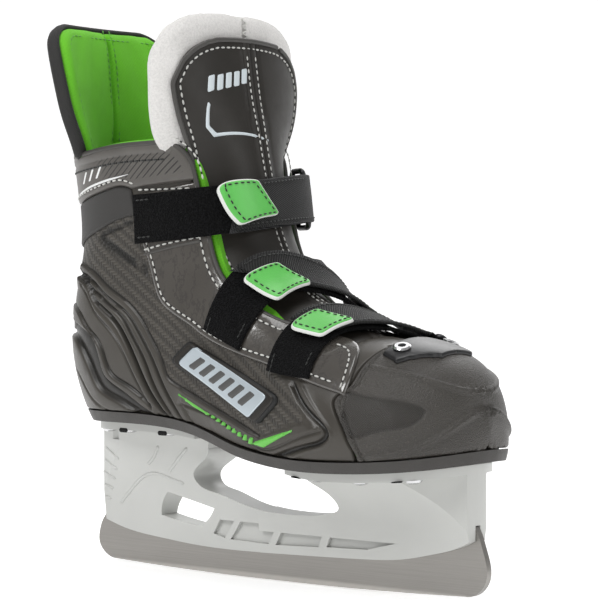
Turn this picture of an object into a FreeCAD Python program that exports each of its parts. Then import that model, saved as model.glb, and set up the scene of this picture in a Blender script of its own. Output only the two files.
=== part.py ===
import FreeCAD, Part
import Sketcher
import math
import os

# Right-foot ice skate, youth size.  Millimetres.
# +X to the toe, +Y to the inner (medial) side, +Z up, Z = 0 at the blade's running edge.

V = FreeCAD.Vector
doc = FreeCAD.newDocument("IceSkate")

# ---------------------------------------------------------------- named sizes
SIZES = [
    ("boot_length", 206.0, "outside length of the boot"),
    ("boot_width", 83.0, "outside width across the ball of the foot"),
    ("boot_height", 128.0, "collar edge above the sole"),
    ("sole_height", 49.0, "underside of the sole above the running edge"),
    ("shell_thickness", 2.0, "quarter shell"),
    ("liner_thickness", 2.0, "lining inside the shell"),
    ("layer_gap", 0.2, "bond line between layers"),
    ("cover_thickness", 1.4, "facings and collar covers"),
    ("outsole_thickness", 4.5, "outsole plate"),
    ("board_thickness", 2.0, "midsole board"),
    ("footbed_thickness", 4.0, "removable footbed"),
    ("toe_cap_thickness", 2.9, "moulded toe cap"),
    ("tongue_thickness", 7.0, "tongue face and felt together"),
    ("strap_width", 20.0, "strap webbing width"),
    ("strap_thickness", 1.4, "strap webbing thickness"),
    ("move_gap", 0.3, "clearance between bodies that move"),
    ("ring_wire", 2.4, "strap ring bar diameter"),
    ("runner_length", 200.0, "steel runner length"),
    ("runner_thickness", 3.0, "steel runner thickness"),
    ("flat_length", 30.0, "flat of the running edge"),
    ("rocker_rise", 2.2, "running edge rise at each end"),
    ("runner_gap", 0.15, "clearance each side of the runner in its slot"),
    ("rail_width", 10.0, "width of the holder rail"),
    ("flange_thickness", 3.5, "holder flange under the sole"),
    ("bolt_diameter", 4.0, "runner bolt shank"),
    ("bolt_head", 7.0, "runner bolt head diameter"),
    ("rivet_diameter", 4.0, "sole rivet shank"),
    ("rivet_head", 7.0, "sole rivet head diameter"),
    ("washer_diameter", 9.0, "rivet washer inside the boot"),
    ("eyelet_outer", 7.0, "toe eyelet flange"),
    ("eyelet_bore", 3.2, "toe eyelet bore"),
    ("guard_shell", 2.6, "tendon guard outer skin"),
    ("guard_pad", 4.4, "tendon guard padding"),
]
sheet = doc.addObject("Spreadsheet::Sheet", "Sizes")
for row, (alias, value, note) in enumerate(SIZES, 1):
    sheet.set("A%d" % row, note)
    sheet.set("B%d" % row, str(value))
    sheet.setAlias("B%d" % row, alias)
doc.recompute()


def size(alias):
    """One named size, as a number."""
    return float(sheet.get(alias))


LAYER = size("layer_gap")
MOVE = size("move_gap")
SHELL = size("shell_thickness")
LINER = size("liner_thickness")
COVER = size("cover_thickness")
STRAP = size("strap_thickness")

# The shapes below are drawn at the base size and stretched to the named sizes.
BASE_LENGTH, BASE_WIDTH, BASE_HEIGHT, BASE_SOLE = 206.0, 83.0, 128.0, 49.0
LONG = size("boot_length") / BASE_LENGTH
WIDE = size("boot_width") / BASE_WIDTH
TALL = size("boot_height") / BASE_HEIGHT
LOW = size("sole_height") / BASE_SOLE


def px(x):
    """Stretch a length-wise coordinate."""
    return x * LONG


def pz(z):
    """Stretch a height: the holder below the sole, the boot above it."""
    if z <= BASE_SOLE:
        return z * LOW
    return size("sole_height") + (z - BASE_SOLE) * TALL


def side(points):
    """Side-view points (x, z) stretched to size."""
    return [(px(x), pz(z)) for x, z in points]


# ---------------------------------------------------------------- boot form
# Fan of closed sections from the toe over the instep and round the heel to the collar.
# back/bottom x, z; front/top x, z; half width; share of the widest point;
# roundness below; roundness above; sideways shift; share of the toe offset
FORM = [
    (98.3, 60, 96.8, 75.5, 8, .50, 2.2, 2.2, 1, 1),
    (96.3, 48, 94.3, 83.5, 17, .45, 2.2, 2.2, 1, .9),
    (91.5, 42, 88.5, 90.5, 26, .45, 2.2, 2.2, 1, .7),
    (82, 39, 78, 95.5, 34, .46, 2.3, 2.2, 1, .4),
    (66, 37, 62, 98.5, 39.5, .46, 2.3, 2.15, 1, .15),
    (46, 36, 42, 102, 41, .44, 2.3, 2.2, .5, 0),
    (24, 36, 24, 110, 39.5, .42, 2.3, 2.3, 0, 0),
    (0, 39, 9.5, 119.5, 37, .42, 2.3, 2.4, 0, 0),
    (-26, 46, 2, 131, 35, .44, 2.3, 2.6, 0, 0),
    (-54, 49, -3, 142, 34.5, .45, 2.3, 2.8, 0, 0),
    (-84, 52, -6, 153, 34.5, .46, 2.2, 3.0, 0, 0),
    (-99.5, 69, -8, 163, 34.5, .47, 2.1, 3.2, 0, 0),
    (-104.5, 88, -10, 172, 34.5, .47, 2.1, 3.3, 0, 0),
    (-102.5, 108, -12, 182, 35, .48, 2.1, 3.4, 0, 0),
    (-97.5, 128, -14.5, 193, 35.5, .50, 2.1, 3.6, 0, 0),
    (-97.5, 148, -16.5, 205, 36, .50, 2.1, 3.8, 0, 0),
    (-100.5, 168, -18.5, 220, 36.5, .50, 2.1, 4.0, 0, 0),
    (-104, 194, -19.5, 236, 38, .50, 2.1, 4.0, 0, 0),
]
SECTION_POINTS = 28


def closed_curve(points):
    """Smooth closed wire through the points."""
    curve = Part.BSplineCurve()
    curve.interpolate(Points=points, PeriodicFlag=True)
    return Part.Wire([curve.toShape()])


def section(start, end, half, share, low, high, shift=0.0, forward=0.0, inner_half=0.0):
    """Rounded closed section standing across the boot from start to end (x, z)."""
    length = math.hypot(end[0] - start[0], end[1] - start[1])
    ax, az = (end[0] - start[0]) / length, (end[1] - start[1]) / length
    points = []
    for i in range(SECTION_POINTS):
        angle = 2 * math.pi * i / SECTION_POINTS - math.pi / 2
        sn, cs = math.sin(angle), math.cos(angle)
        power = low if sn < 0 else high
        along = share + math.copysign(abs(sn) ** (2 / power), sn) * (share if sn < 0 else 1 - share)
        width = half + (inner_half if cs > 0 else 0.0)
        across = math.copysign(width * abs(cs) ** (2 / power), cs)
        points.append(V(start[0] + ax * length * along + forward,
                        shift + across,
                        start[1] + az * length * along))
    return closed_curve(points)


FORMS = {}


def form(offset, bulge=0.0):
    """Solid boot form grown by offset; bulge widens its inner (medial) side."""
    key = (round(offset, 3), round(bulge, 3))
    if key in FORMS:
        return FORMS[key]
    wires = []
    for x0, z0, x1, z1, half, share, low, high, shift, ahead in FORM:
        (ax, az), (bx, bz) = side([(x0, z0), (x1, z1)])
        length = math.hypot(bx - ax, bz - az)
        ux, uz = (bx - ax) / length, (bz - az) / length
        start = (ax - ux * offset, az - uz * offset)
        end = (bx + ux * offset, bz + uz * offset)
        wires.append(section(start, end, half * WIDE + offset, share, low, high,
                             shift, ahead * offset, bulge))
    FORMS[key] = Part.makeLoft(wires, True, False)
    return FORMS[key]


def layer(outer, inner, zone, bulge=0.0):
    """Skin between two offsets of the boot form, inside a zone."""
    return form(outer, bulge).common(zone).cut(form(inner, bulge))


# ---------------------------------------------------------------- cutting helpers
REACH = 90.0


def outline(runs, place):
    """Closed wire from runs of points; a run of three or more is a smooth curve."""
    edges = []
    first = place(*runs[0][0])
    last = None
    for run in runs:
        points = [place(*p) for p in run]
        if last is not None and last.distanceToPoint(points[0]) > 1e-6:
            edges.append(Part.makeLine(last, points[0]))
        if len(points) == 2:
            edges.append(Part.makeLine(points[0], points[1]))
        elif len(points) > 2:
            curve = Part.BSplineCurve()
            curve.interpolate(Points=points)
            edges.append(curve.toShape())
        last = points[-1]
    if last.distanceToPoint(first) > 1e-6:
        edges.append(Part.makeLine(last, first))
    return Part.Wire(edges)


def side_prism(runs, low=-REACH, high=REACH):
    """Prism across the boot from a side-view outline."""
    wire = outline(runs, lambda x, z: V(x, low, z))
    return Part.Face(wire).extrude(V(0, high - low, 0))


def plan_prism(runs, low, high):
    """Upright prism from a plan outline."""
    wire = outline(runs, lambda x, y: V(x, y, low))
    return Part.Face(wire).extrude(V(0, 0, high - low))


SOLE_LINE = [(-112, 62.5), (-97, 62.3), (-48, 62.6), (-24, 60.2), (-12, 57.2), (0, 53.6),
             (16, 50.6), (27, 49.4), (54, 49), (78, 50.4), (98, 53.2), (112, 57.2)]


def sole(lift):
    """Underside line of the boot, raised by lift."""
    return [(x, z + lift) for x, z in side(SOLE_LINE)]


def above_sole(lift):
    """Everything above the raised sole line."""
    line = sole(lift)
    return side_prism([line, [(line[-1][0], 320), (line[0][0], 320)]])


def slab(low, high):
    """Plate following the sole line between two lifts."""
    return side_prism([sole(low), list(reversed(sole(high)))])


def shift_line(points, dx, dz):
    """Side-view points moved by real millimetres."""
    return [(x + dx, z + dz) for x, z in points]


# ---------------------------------------------------------------- parts list
PARTS = []


def keep(name, shape, placement=None):
    """Add a sub-part drawn with surface functions to the document."""
    part = doc.addObject("Part::Feature", name)
    part.Label = name
    part.Shape = shape
    part.Placement = placement or FreeCAD.Placement()
    PARTS.append(part)
    return part


def new_body(name):
    """Add an empty sketch-based body."""
    body = doc.addObject("PartDesign::Body", name)
    body.Label = name
    return body


def plane_of(body, role):
    """One of the body's own origin planes."""
    for item in body.Origin.OriginFeatures:
        if item.Role == role:
            return item
    raise ValueError(role)


def sketch_on(body, role, name, offset=0.0):
    """Sketch on an origin plane, moved along the plane's normal."""
    sketch = body.newObject("Sketcher::SketchObject", name)
    sketch.AttachmentSupport = [(plane_of(body, role), "")]
    sketch.MapMode = "FlatFace"
    sketch.AttachmentOffset = FreeCAD.Placement(V(0, 0, offset), FreeCAD.Rotation())
    return sketch


def draw(sketch, runs):
    """Closed outline of lines and smooth curves in a sketch."""
    wire = outline(runs, lambda x, y: V(x, y, 0))
    for edge in wire.OrderedEdges:
        curve = edge.Curve
        if isinstance(curve, Part.Line):
            start, end = [v.Point for v in (edge.firstVertex(True), edge.lastVertex(True))]
            sketch.addGeometry(Part.LineSegment(start, end), False)
        else:
            sketch.addGeometry(curve, False)


def circle(sketch, x, y, alias, grown=0.0):
    """Circle whose diameter is a named size, grown by a clearance."""
    diameter = size(alias) + grown
    index = sketch.addGeometry(Part.Circle(V(x, y, 0), V(0, 0, 1), diameter / 2), False)
    number = sketch.addConstraint(Sketcher.Constraint("Diameter", index, diameter))
    sketch.setExpression("Constraints[%d]" % number, "Sizes.%s + %g" % (alias, grown))


def add_pad(body, sketch, name, length, expression=None, both_ways=True, backwards=False):
    """Pad a sketch, half to each side unless told otherwise."""
    pad = body.newObject("PartDesign::Pad", name)
    pad.Profile = sketch
    pad.Length = length
    if expression:
        pad.setExpression("Length", expression)
    pad.Midplane = both_ways
    pad.Reversed = backwards
    body.Tip = pad
    return pad


def add_pocket(body, sketch, name, length=None, expression=None, both_ways=False, backwards=False):
    """Pocket a sketch; through everything when no length is given."""
    pocket = body.newObject("PartDesign::Pocket", name)
    pocket.Profile = sketch
    if length is None:
        pocket.Type = 1
    else:
        pocket.Length = length
        if expression:
            pocket.setExpression("Length", expression)
    pocket.Midplane = both_ways
    pocket.Reversed = backwards
    body.Tip = pocket
    return pocket


# ---------------------------------------------------------------- upper of the boot
SHELL_FLOOR = size("outsole_thickness") + LAYER
LINER_FLOOR = SHELL_FLOOR + size("board_thickness") + LAYER
IN_SHELL = -SHELL - LAYER
IN_LINER = IN_SHELL - LINER - LAYER
ON_SHELL = LAYER
COVER_TOP = ON_SHELL + COVER

TOP_LINE = side([(-125, 173.2), (-105, 173.2), (-85, 173.6), (-72.5, 174.6), (-58, 176.2), (-42, 177),
                 (-30.9, 177.4)])
THROAT = side([(-30.9, 177.4), (-27, 175), (-23.6, 170.7), (-21.9, 165.3), (-21.2, 162.3), (-15.8, 141.4),
               (-12.8, 132.2), (-8, 123.6), (-3.1, 118.5), (9.5, 109.6), (18.8, 105.7), (34, 101.2),
               (45, 98.6)])
BAND_EDGE = side([(-125, 150.5), (-98, 152.5), (-84, 154.6), (-71.6, 157.2), (-62.1, 159.3), (-54.2, 160.3),
                  (-49.8, 159.1)])
SHELL_EDGE = side([(-125, 129), (-98, 133), (-80.6, 138.8), (-66.8, 143.2), (-57.7, 146.6), (-50.1, 148.2)])
FACING_REAR = side([(-48.4, 156.2), (-46.7, 148.5), (-44.9, 140), (-44.1, 135.6), (-42.3, 131.6),
                    (-40, 125.4), (-37.8, 118.6), (-34.8, 113), (-28.8, 108.5), (-17.7, 102.8),
                    (-14.7, 101), (2.3, 94), (12.3, 91.3), (23, 88.7), (32.1, 86), (41.7, 83.2),
                    (50.9, 80.8), (56, 79.6)])
FACING_FRONT = side([(59.3, 78.5), (59.6, 83.4), (54.1, 95.4), (48.1, 98.1), (43.5, 99.2)])
CAP_REAR = side([(64, 99), (60.6, 87.8), (59.4, 82), (55.1, 77.6), (57.7, 70.6), (60.9, 64), (63.6, 58.8),
                 (66.5, 50)])


def beyond_throat(dx, dz):
    """The throat opening: everything ahead of and above the moved throat line."""
    line = shift_line(THROAT, dx, dz)
    x, z = line[-1]
    first = line[0]
    return side_prism([line, [(x + 4, z), (x + 4, 330), (first[0] - 0.01, 330)]])


def below_top(lift):
    """Everything under the collar edge moved up by lift."""
    line = shift_line(TOP_LINE, 0, lift)
    x = line[-1][0]
    return side_prism([line, [(x + 30, line[-1][1]), (x + 190, line[-1][1])], [(x + 190, 0), (-130, 0)]])


def mirror(shape):
    """The same shape on the other side of the boot."""
    return shape.mirror(V(0, 0, 0), V(0, 1, 0))


half_space_inner = Part.makeBox(400, 100, 400, V(-200, LAYER / 2, -20))
half_space_outer = Part.makeBox(400, 100, 400, V(-200, -100 - LAYER / 2, -20))

behind_cap = side_prism([shift_line(CAP_REAR, -LAYER, 0),
                         [(px(66.5), 20), (-140, 20)], [(-140, 330), (px(64) - LAYER, 330)]])
ahead_of_cap = side_prism([CAP_REAR, [(px(66.5), 20), (150, 20)], [(150, 200), (px(64), 200)]])

upper = layer(0, -SHELL, above_sole(SHELL_FLOOR)).common(below_top(-0.8))
upper = upper.cut(beyond_throat(-1.0, -0.6)).common(behind_cap)
lateral_half = upper.common(half_space_outer)
medial_half = upper.common(half_space_inner)

lining = layer(IN_SHELL, IN_SHELL - LINER, above_sole(LINER_FLOOR)).common(below_top(0.6))
lining = lining.cut(beyond_throat(1.3, 1.0))

outsole = form(0.8).common(slab(0, size("outsole_thickness")))
board = form(IN_SHELL).common(slab(SHELL_FLOOR, SHELL_FLOOR + size("board_thickness")))
footbed = form(IN_LINER).common(slab(LINER_FLOOR, LINER_FLOOR + size("footbed_thickness")))

toe_cap = layer(size("toe_cap_thickness") - SHELL, -SHELL, ahead_of_cap).common(above_sole(SHELL_FLOOR))

band_zone = side_prism([shift_line(TOP_LINE, 0, 0), shift_line(THROAT[:5], 0, 0),
                        [(THROAT[4][0], THROAT[4][1]), (BAND_EDGE[-1][0], BAND_EDGE[-1][1])],
                        list(reversed(BAND_EDGE))])
collar_band = layer(COVER_TOP, ON_SHELL, band_zone)

panel_top = shift_line(BAND_EDGE, -LAYER, -LAYER * 1.5)
panel_zone = side_prism([panel_top, [panel_top[-1], (FACING_REAR[0][0] - 1.0, FACING_REAR[0][1])],
                         [(FACING_REAR[0][0] - 1.0, FACING_REAR[0][1]), (px(-47.4), pz(148.6))],
                         list(reversed(SHELL_EDGE))])
ankle_panel = layer(ON_SHELL + 1.0, ON_SHELL, panel_zone)

facing_top = (THROAT[4][0] + 0.3, THROAT[4][1] - 0.8)
facing_zone = side_prism([
    FACING_REAR,
    FACING_FRONT,
    list(reversed(THROAT[5:-1])),
    [THROAT[5], facing_top],
    [facing_top, (FACING_REAR[0][0] + 0.4, FACING_REAR[0][1] + 0.6)],
])
facings = layer(COVER_TOP, ON_SHELL, facing_zone).cut(side_prism([
    shift_line(CAP_REAR, -LAYER, 0), [(px(66.5), 20), (150, 20)], [(150, 200), (px(64) - LAYER, 200)]]))
facing_lateral = facings.common(half_space_outer)
facing_medial = facings.common(half_space_inner)

# heel strip over the seam where the two shell halves meet
BACKSTAY_HALF = 8.0
BACKSTAY_SIDE = side([(-125, 70), (-70, 70), (-70, 137), (-98, 131.5), (-125, 127)])
backstay_zone = side_prism([[a, b] for a, b in zip(BACKSTAY_SIDE, BACKSTAY_SIDE[1:])],
                           -BACKSTAY_HALF, BACKSTAY_HALF)
backstay = layer(ON_SHELL + 1.0, ON_SHELL, backstay_zone)

keep("quarter_lateral", lateral_half)
keep("quarter_medial", medial_half)
keep("backstay", backstay)
keep("ankle_panel", ankle_panel)
keep("collar_band", collar_band)
keep("facing_lateral", facing_lateral)
keep("facing_medial", facing_medial)
keep("footbed", footbed)

# soft ankle cushions between the lining and the foot, one each side
CUSHION_THICKNESS = 3.0
cushion_zone = side_prism([side([(-92, 118), (-84, 96), (-62, 88), (-44, 98), (-36, 118), (-42, 140),
                                 (-60, 150), (-82, 140), (-92, 118)])])
cushions = layer(IN_LINER, IN_LINER - CUSHION_THICKNESS, cushion_zone)
cushions = cushions.cut(Part.makeBox(400, 36, 400, V(-200, -18, -20)))
keep("ankle_cushions", cushions)

# ---------------------------------------------------------------- tongue
# crown x, z; outward x, z from the fan; half width; depth of the widest line; roundness
TONGUE = [
    (54, 97.0, -0.06, 1.0, 19, 20, 2.0),
    (42, 102, -0.06, 1.0, 24, 24, 2.1),
    (24, 110, 0.0, 1.0, 32, 36, 2.1),
    (9.5, 119.5, 0.12, 0.99, 31.5, 44, 2.1),
    (2, 131, 0.31, 0.95, 30.2, 50, 2.2),
    (-3, 142, 0.48, 0.88, 29.7, 56, 2.3),
    (-6, 153, 0.61, 0.79, 29.7, 60, 2.4),
    (-8, 163, 0.70, 0.72, 29.7, 58, 2.5),
    (-10, 172, 0.75, 0.67, 30.0, 50, 2.5),
    (-12, 182, 0.77, 0.63, 33.5, 38, 2.4),
    (-14.5, 193, 0.79, 0.61, 41, 28, 2.3),
    (-16.5, 205, 0.82, 0.58, 45.5, 23, 2.2),
    (-18.5, 220, 0.85, 0.53, 46.5, 20, 2.1),
    (-20, 242, 0.86, 0.51, 46, 19, 2.05),
]
TONGUE_RAISE = 1.2
TONGUE_BACK = 25.0


def tongue_form(inset):
    """Solid whose front is the tongue face moved inwards by inset."""
    wires = []
    for x, z, ux, uz, half, depth, high in TONGUE:
        norm = math.hypot(ux, uz)
        ux, uz = ux / norm, uz / norm
        (cx, cz), = side([(x, z)])
        rise = TONGUE_RAISE - inset
        end = (cx + ux * rise, cz + uz * rise)
        start = (cx - ux * (depth + TONGUE_BACK), cz - uz * (depth + TONGUE_BACK))
        share = TONGUE_BACK / (depth + TONGUE_BACK + rise)
        wires.append(section(start, end, half * WIDE - inset, share, 2.2, high))
    return Part.makeLoft(wires, True, False)


def tongue_zone(depths, bottom, top):
    """Side prism keeping the tongue's front part: depth behind the crown for each section."""
    rear, front = [], []
    for (x, z, ux, uz, _, _, _), depth in zip(TONGUE, depths):
        norm = math.hypot(ux, uz)
        (cx, cz), = side([(x, z)])
        rear.append((cx - ux / norm * depth, cz - uz / norm * depth))
        front.append((cx + ux / norm * 30, cz + uz / norm * 30))
    zone = side_prism([rear, list(reversed(front))])
    window = Part.makeBox(400, 400, pz(top) - pz(bottom), V(-200, -200, pz(bottom)))
    return zone.common(window)


FELT_DEPTH = [10, 12, 15, 19, 22, 25, 27, 28, 28, 27, 27, 26, 24, 22]
FACE_DEPTH = [8, 9, 11, 14, 16, 18, 20, 21, 20, 17, 13.5, 11.5, 10, 9]
FACE_SHARE = 0.3
FACE_SKIN = size("tongue_thickness") * FACE_SHARE
TONGUE_HINGE = 168.5
TONGUE_TOP = 229.0
FELT_RIM = 8.0
FACE_DROP = 10.5

face_skin = tongue_form(0).cut(tongue_form(FACE_SKIN))
felt_skin = tongue_form(FACE_SKIN + LAYER).cut(tongue_form(size("tongue_thickness")))


def top_shape(half, top, radius_share):
    """Front-view prism rounding the tongue's top corners."""
    zt = pz(top)
    r = half * radius_share
    runs = [[(-half - 6, pz(120)), (half + 6, pz(120))],
            [(half + 6, pz(120)), (half + 2, zt - r)],
            [(half + 2, zt - r), (half * 0.93, zt - r * 0.45), (half * 0.72, zt - r * 0.08),
             (0, zt + 2), (-half * 0.72, zt - r * 0.08), (-half * 0.93, zt - r * 0.45), (-half - 2, zt - r)],
            [(-half - 2, zt - r), (-half - 6, pz(120))]]
    wire = outline(runs, lambda y, z: V(-200, y, z))
    return Part.Face(wire).extrude(V(400, 0, 0))


felt_outline = top_shape(46 * WIDE, TONGUE_TOP, 0.42)
face_outline = top_shape((46 - FELT_RIM) * WIDE, TONGUE_TOP - FACE_DROP, 0.46)
tongue_floor = 60


def clear_of_walls(shape, gap):
    """Trim what would sit inside the boot's wall behind the throat line."""
    opening = beyond_throat(1.3 + gap, 1.0 + gap)
    wall_zone = below_top(0.6 + gap).cut(opening)
    wall = form(COVER_TOP + 3).common(wall_zone).cut(form(IN_LINER - gap))
    return shape.cut(wall)


tongue_felt = felt_skin.common(tongue_zone(FELT_DEPTH, tongue_floor, TONGUE_HINGE - 0.2))
tongue_face = face_skin.common(tongue_zone(FACE_DEPTH, tongue_floor, TONGUE_HINGE - 0.2))
tongue_top_felt = felt_skin.common(tongue_zone(FELT_DEPTH, TONGUE_HINGE + 0.2, 245)).common(felt_outline)
tongue_top_face = face_skin.common(tongue_zone(FACE_DEPTH, TONGUE_HINGE + 0.2, 245)).common(face_outline)
keep("tongue_face", clear_of_walls(tongue_face, 0.1))
keep("tongue_felt", clear_of_walls(tongue_felt, 0.1))
keep("tongue_top_face", clear_of_walls(tongue_top_face, MOVE))
keep("tongue_top_felt", clear_of_walls(tongue_top_felt, MOVE))

# ---------------------------------------------------------------- tendon guard
# height, inner face x at the middle, half width, how far the sides come forward
GUARD = [
    (168, -91.9, 31.5, 18),
    (180, -92.0, 33.5, 15.5),
    (191, -92.2, 36, 12.5),
    (203, -92.8, 36.5, 9),
    (218, -94.5, 36, 5.5),
    (226.5, -97.0, 32.5, 4),
    (232, -99.3, 26, 2.5),
]
GUARD_STEPS = 8


def guard_wire(z, mid, half, sag, near, far):
    """Closed crescent at one height between two distances behind the inner face."""
    inner, outer = [], []
    for i in range(GUARD_STEPS + 1):
        share = 2.0 * i / GUARD_STEPS - 1
        slope = 2 * sag * share / half
        norm = math.hypot(1, slope)
        x, y = px(mid) + sag * share * share, half * WIDE * share
        inner.append(V(x - near / norm, y + near * slope / norm, pz(z)))
        outer.append(V(x - far / norm, y + far * slope / norm, pz(z)))
    curves = []
    for points in (inner, outer):
        curve = Part.BSplineCurve()
        curve.interpolate(Points=points)
        curves.append(curve.toShape())
    ends = [Part.makeLine(inner[-1], outer[-1]), Part.makeLine(outer[0], inner[0])]
    return Part.Wire(Part.__sortEdges__([curves[0], ends[0], curves[1], ends[1]]))


def guard_skin(near, far):
    """Curved plate between two distances behind the guard's inner face."""
    return Part.makeLoft([guard_wire(z, x, half, sag, near, far) for z, x, half, sag in GUARD], True, False)


GUARD_LIFT = 0.6 + MOVE
guard_zone = side_prism([shift_line(TOP_LINE, 0, GUARD_LIFT), [(px(-30.9), 330), (px(-125), 330)]])
guard_liner = guard_skin(0, size("guard_pad")).common(guard_zone)
guard_shell = guard_skin(size("guard_pad") + LAYER,
                         size("guard_pad") + LAYER + size("guard_shell")).common(guard_zone)
keep("guard_liner", guard_liner)
keep("guard_shell", guard_shell)

# ---------------------------------------------------------------- straps
# lateral end, crown and inner fold in space (base size); outward bulge of the inner side;
# corners of the pull tab; y where the flap and its hook patch end
STRAPS = {
    "ankle": ((-47.3, -35, 146.6), (-6, 0, 152.8), (-12, 32, 155.8), 4.0,
              [(-10.8, -30.2, 160.4), (-3.2, -12.6, 162.3), (0.1, -2.9, 147.7), (-2.7, -23.9, 143.1)],
              -21, (-21, 8)),
    "instep": ((-2, -34.5, 98), (8, 0, 121), (13, 36, 111), 8.0,
               [(2.4, -30.5, 122.6), (7.2, -13.8, 128.5), (17.7, -2.2, 120.1), (17.6, -24.9, 114.0)],
               -21, (-21, 6)),
    "toe": ((32.5, -37, 85), (37.5, 0, 104), (46.5, 31, 99.5), 4.0,
            [(27.2, -32.2, 103.8), (30.4, -17.7, 110.6), (46.5, -9.2, 106.7), (42.3, -28.7, 100.7)],
            -21, (-21, 4)),
}
HOOK = 0.7
BASE_IN = COVER_TOP + 0.25
BASE_OUT = BASE_IN + STRAP
HOOK_IN = BASE_OUT + MOVE
HOOK_OUT = HOOK_IN + HOOK
FLAP_IN = HOOK_OUT + 0.1
FLAP_OUT = FLAP_IN + STRAP
TAB_IN = FLAP_OUT + 0.1
TAB_OUT = TAB_IN + 1.6
BAR_LEVEL = (BASE_OUT + FLAP_IN) / 2
EYE_IN = size("ring_wire") / 2 + 0.15
EYE_OUT = EYE_IN + STRAP
RING_HEIGHT = 9.0
KEEPER_LENGTH = 13.0


def point(p):
    """Point in space stretched to size."""
    return V(px(p[0]), p[1] * WIDE, pz(p[2]))


def turned_box(origin, along, across, low, high):
    """Box with its own axes: along, across and their cross product."""
    along = V(along).normalize()
    across = V(across).normalize()
    third = along.cross(across)
    box = Part.makeBox(high[0] - low[0], high[1] - low[1], high[2] - low[2], V(*low))
    matrix = FreeCAD.Matrix(along.x, across.x, third.x, origin.x,
                            along.y, across.y, third.y, origin.y,
                            along.z, across.z, third.z, origin.z, 0, 0, 0, 1)
    box.Placement = FreeCAD.Placement(matrix)
    return box


class StrapLine:
    """The plane a strap lies in and points along the boot's outline in that plane."""

    def __init__(self, lateral, crown, medial, bulge):
        self.lateral, self.crown, self.medial = point(lateral), point(crown), point(medial)
        self.bulge = bulge
        self.normal = (self.crown - self.lateral).cross(self.medial - self.crown).normalize()
        if self.normal.z + self.normal.x < 0:
            self.normal = self.normal * -1
        chord = (self.medial - self.lateral).normalize()
        self.out = chord.cross(self.normal)
        if self.out.dot(self.crown - self.lateral) < 0:
            self.out = self.out * -1
        self.curves = {}

    def curve(self, offset, bulge):
        """Points of the boot form's outline in the strap plane."""
        key = (offset, bulge)
        if key not in self.curves:
            wires = form(offset, bulge).slice(self.normal, self.normal.dot(self.crown))
            self.curves[key] = max(wires, key=lambda w: w.Length).discretize(600)
        return self.curves[key]

    def at(self, y, offset, bulge):
        """Point at this y on the crown side, and the direction towards the inner side."""
        points = self.curve(offset, bulge)
        found = []
        for a, b in zip(points, points[1:]):
            if (a.y - y) * (b.y - y) <= 0 and a.y != b.y:
                spot = a + (b - a) * ((y - a.y) / (b.y - a.y))
                way = (b - a).normalize()
                found.append((spot.dot(self.out), spot, way))
        _, spot, way = max(found, key=lambda item: item[0])
        if way.cross(self.normal).dot(self.out) < 0 and abs(way.cross(self.normal).dot(self.out)) > 0.05:
            way = way * -1
        return spot, way

    def below_upper_edge(self, width):
        """Everything below the strap's upper edge where it crosses the crown."""
        spot, _ = self.at(0.0, 0.0, 0.0)
        slope = self.crown_slope(spot)
        return turned_box(spot, slope, V(0, 1, 0), (-200, -100, -200), (width / 2 + 0.4, 100, 200))

    def crown_slope(self, spot):
        """Direction of the crown line up the shin at a point on it."""
        rows = [side([(row[2], row[3])])[0] for row in FORM]
        for (xa, za), (xb, zb) in zip(rows, rows[1:]):
            if min(xa, xb) <= spot.x <= max(xa, xb):
                return V(xb - xa, 0, zb - za).normalize()
        return V(0, 0, 1)

    def outward(self, way):
        """Outward direction in the strap plane for a direction of travel."""
        side_way = way.cross(self.normal)
        return side_way if side_way.dot(self.out) > 0 else side_way * -1

    def piece(self, outer, inner, start, end, bulge, width):
        """Skin over the boot between two points in the strap plane."""
        chord = (end - start).normalize()
        out = self.out - chord * self.out.dot(chord)
        box = turned_box(start, chord, out, (-60, 0, -width / 2),
                         ((end - start).Length + 60, 120, width / 2))
        return layer(outer, inner, box.common(self.below_upper_edge(width)), bulge)


def tube(centre, axis, outer, inner, length):
    """Round tube centred on a point."""
    start = centre - axis * (length / 2)
    return Part.makeCylinder(outer, length, start, axis).cut(Part.makeCylinder(inner, length, start, axis))


def over_corners(points):
    """Prism along the average outward direction over four corners."""
    across = (points[1] + points[2] - points[0] - points[3]).normalize()
    upward = (points[0] + points[1] - points[2] - points[3]).normalize()
    out = upward.cross(across).normalize()
    if out.x + out.z < 0:
        out = out * -1
    middle = (points[0] + points[1] + points[2] + points[3]) * 0.25
    flat = [p - out * (p - middle).dot(out) - out * 12 for p in points]
    return Part.Face(Part.makePolygon(flat + flat[:1])).extrude(out * 24)


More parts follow.
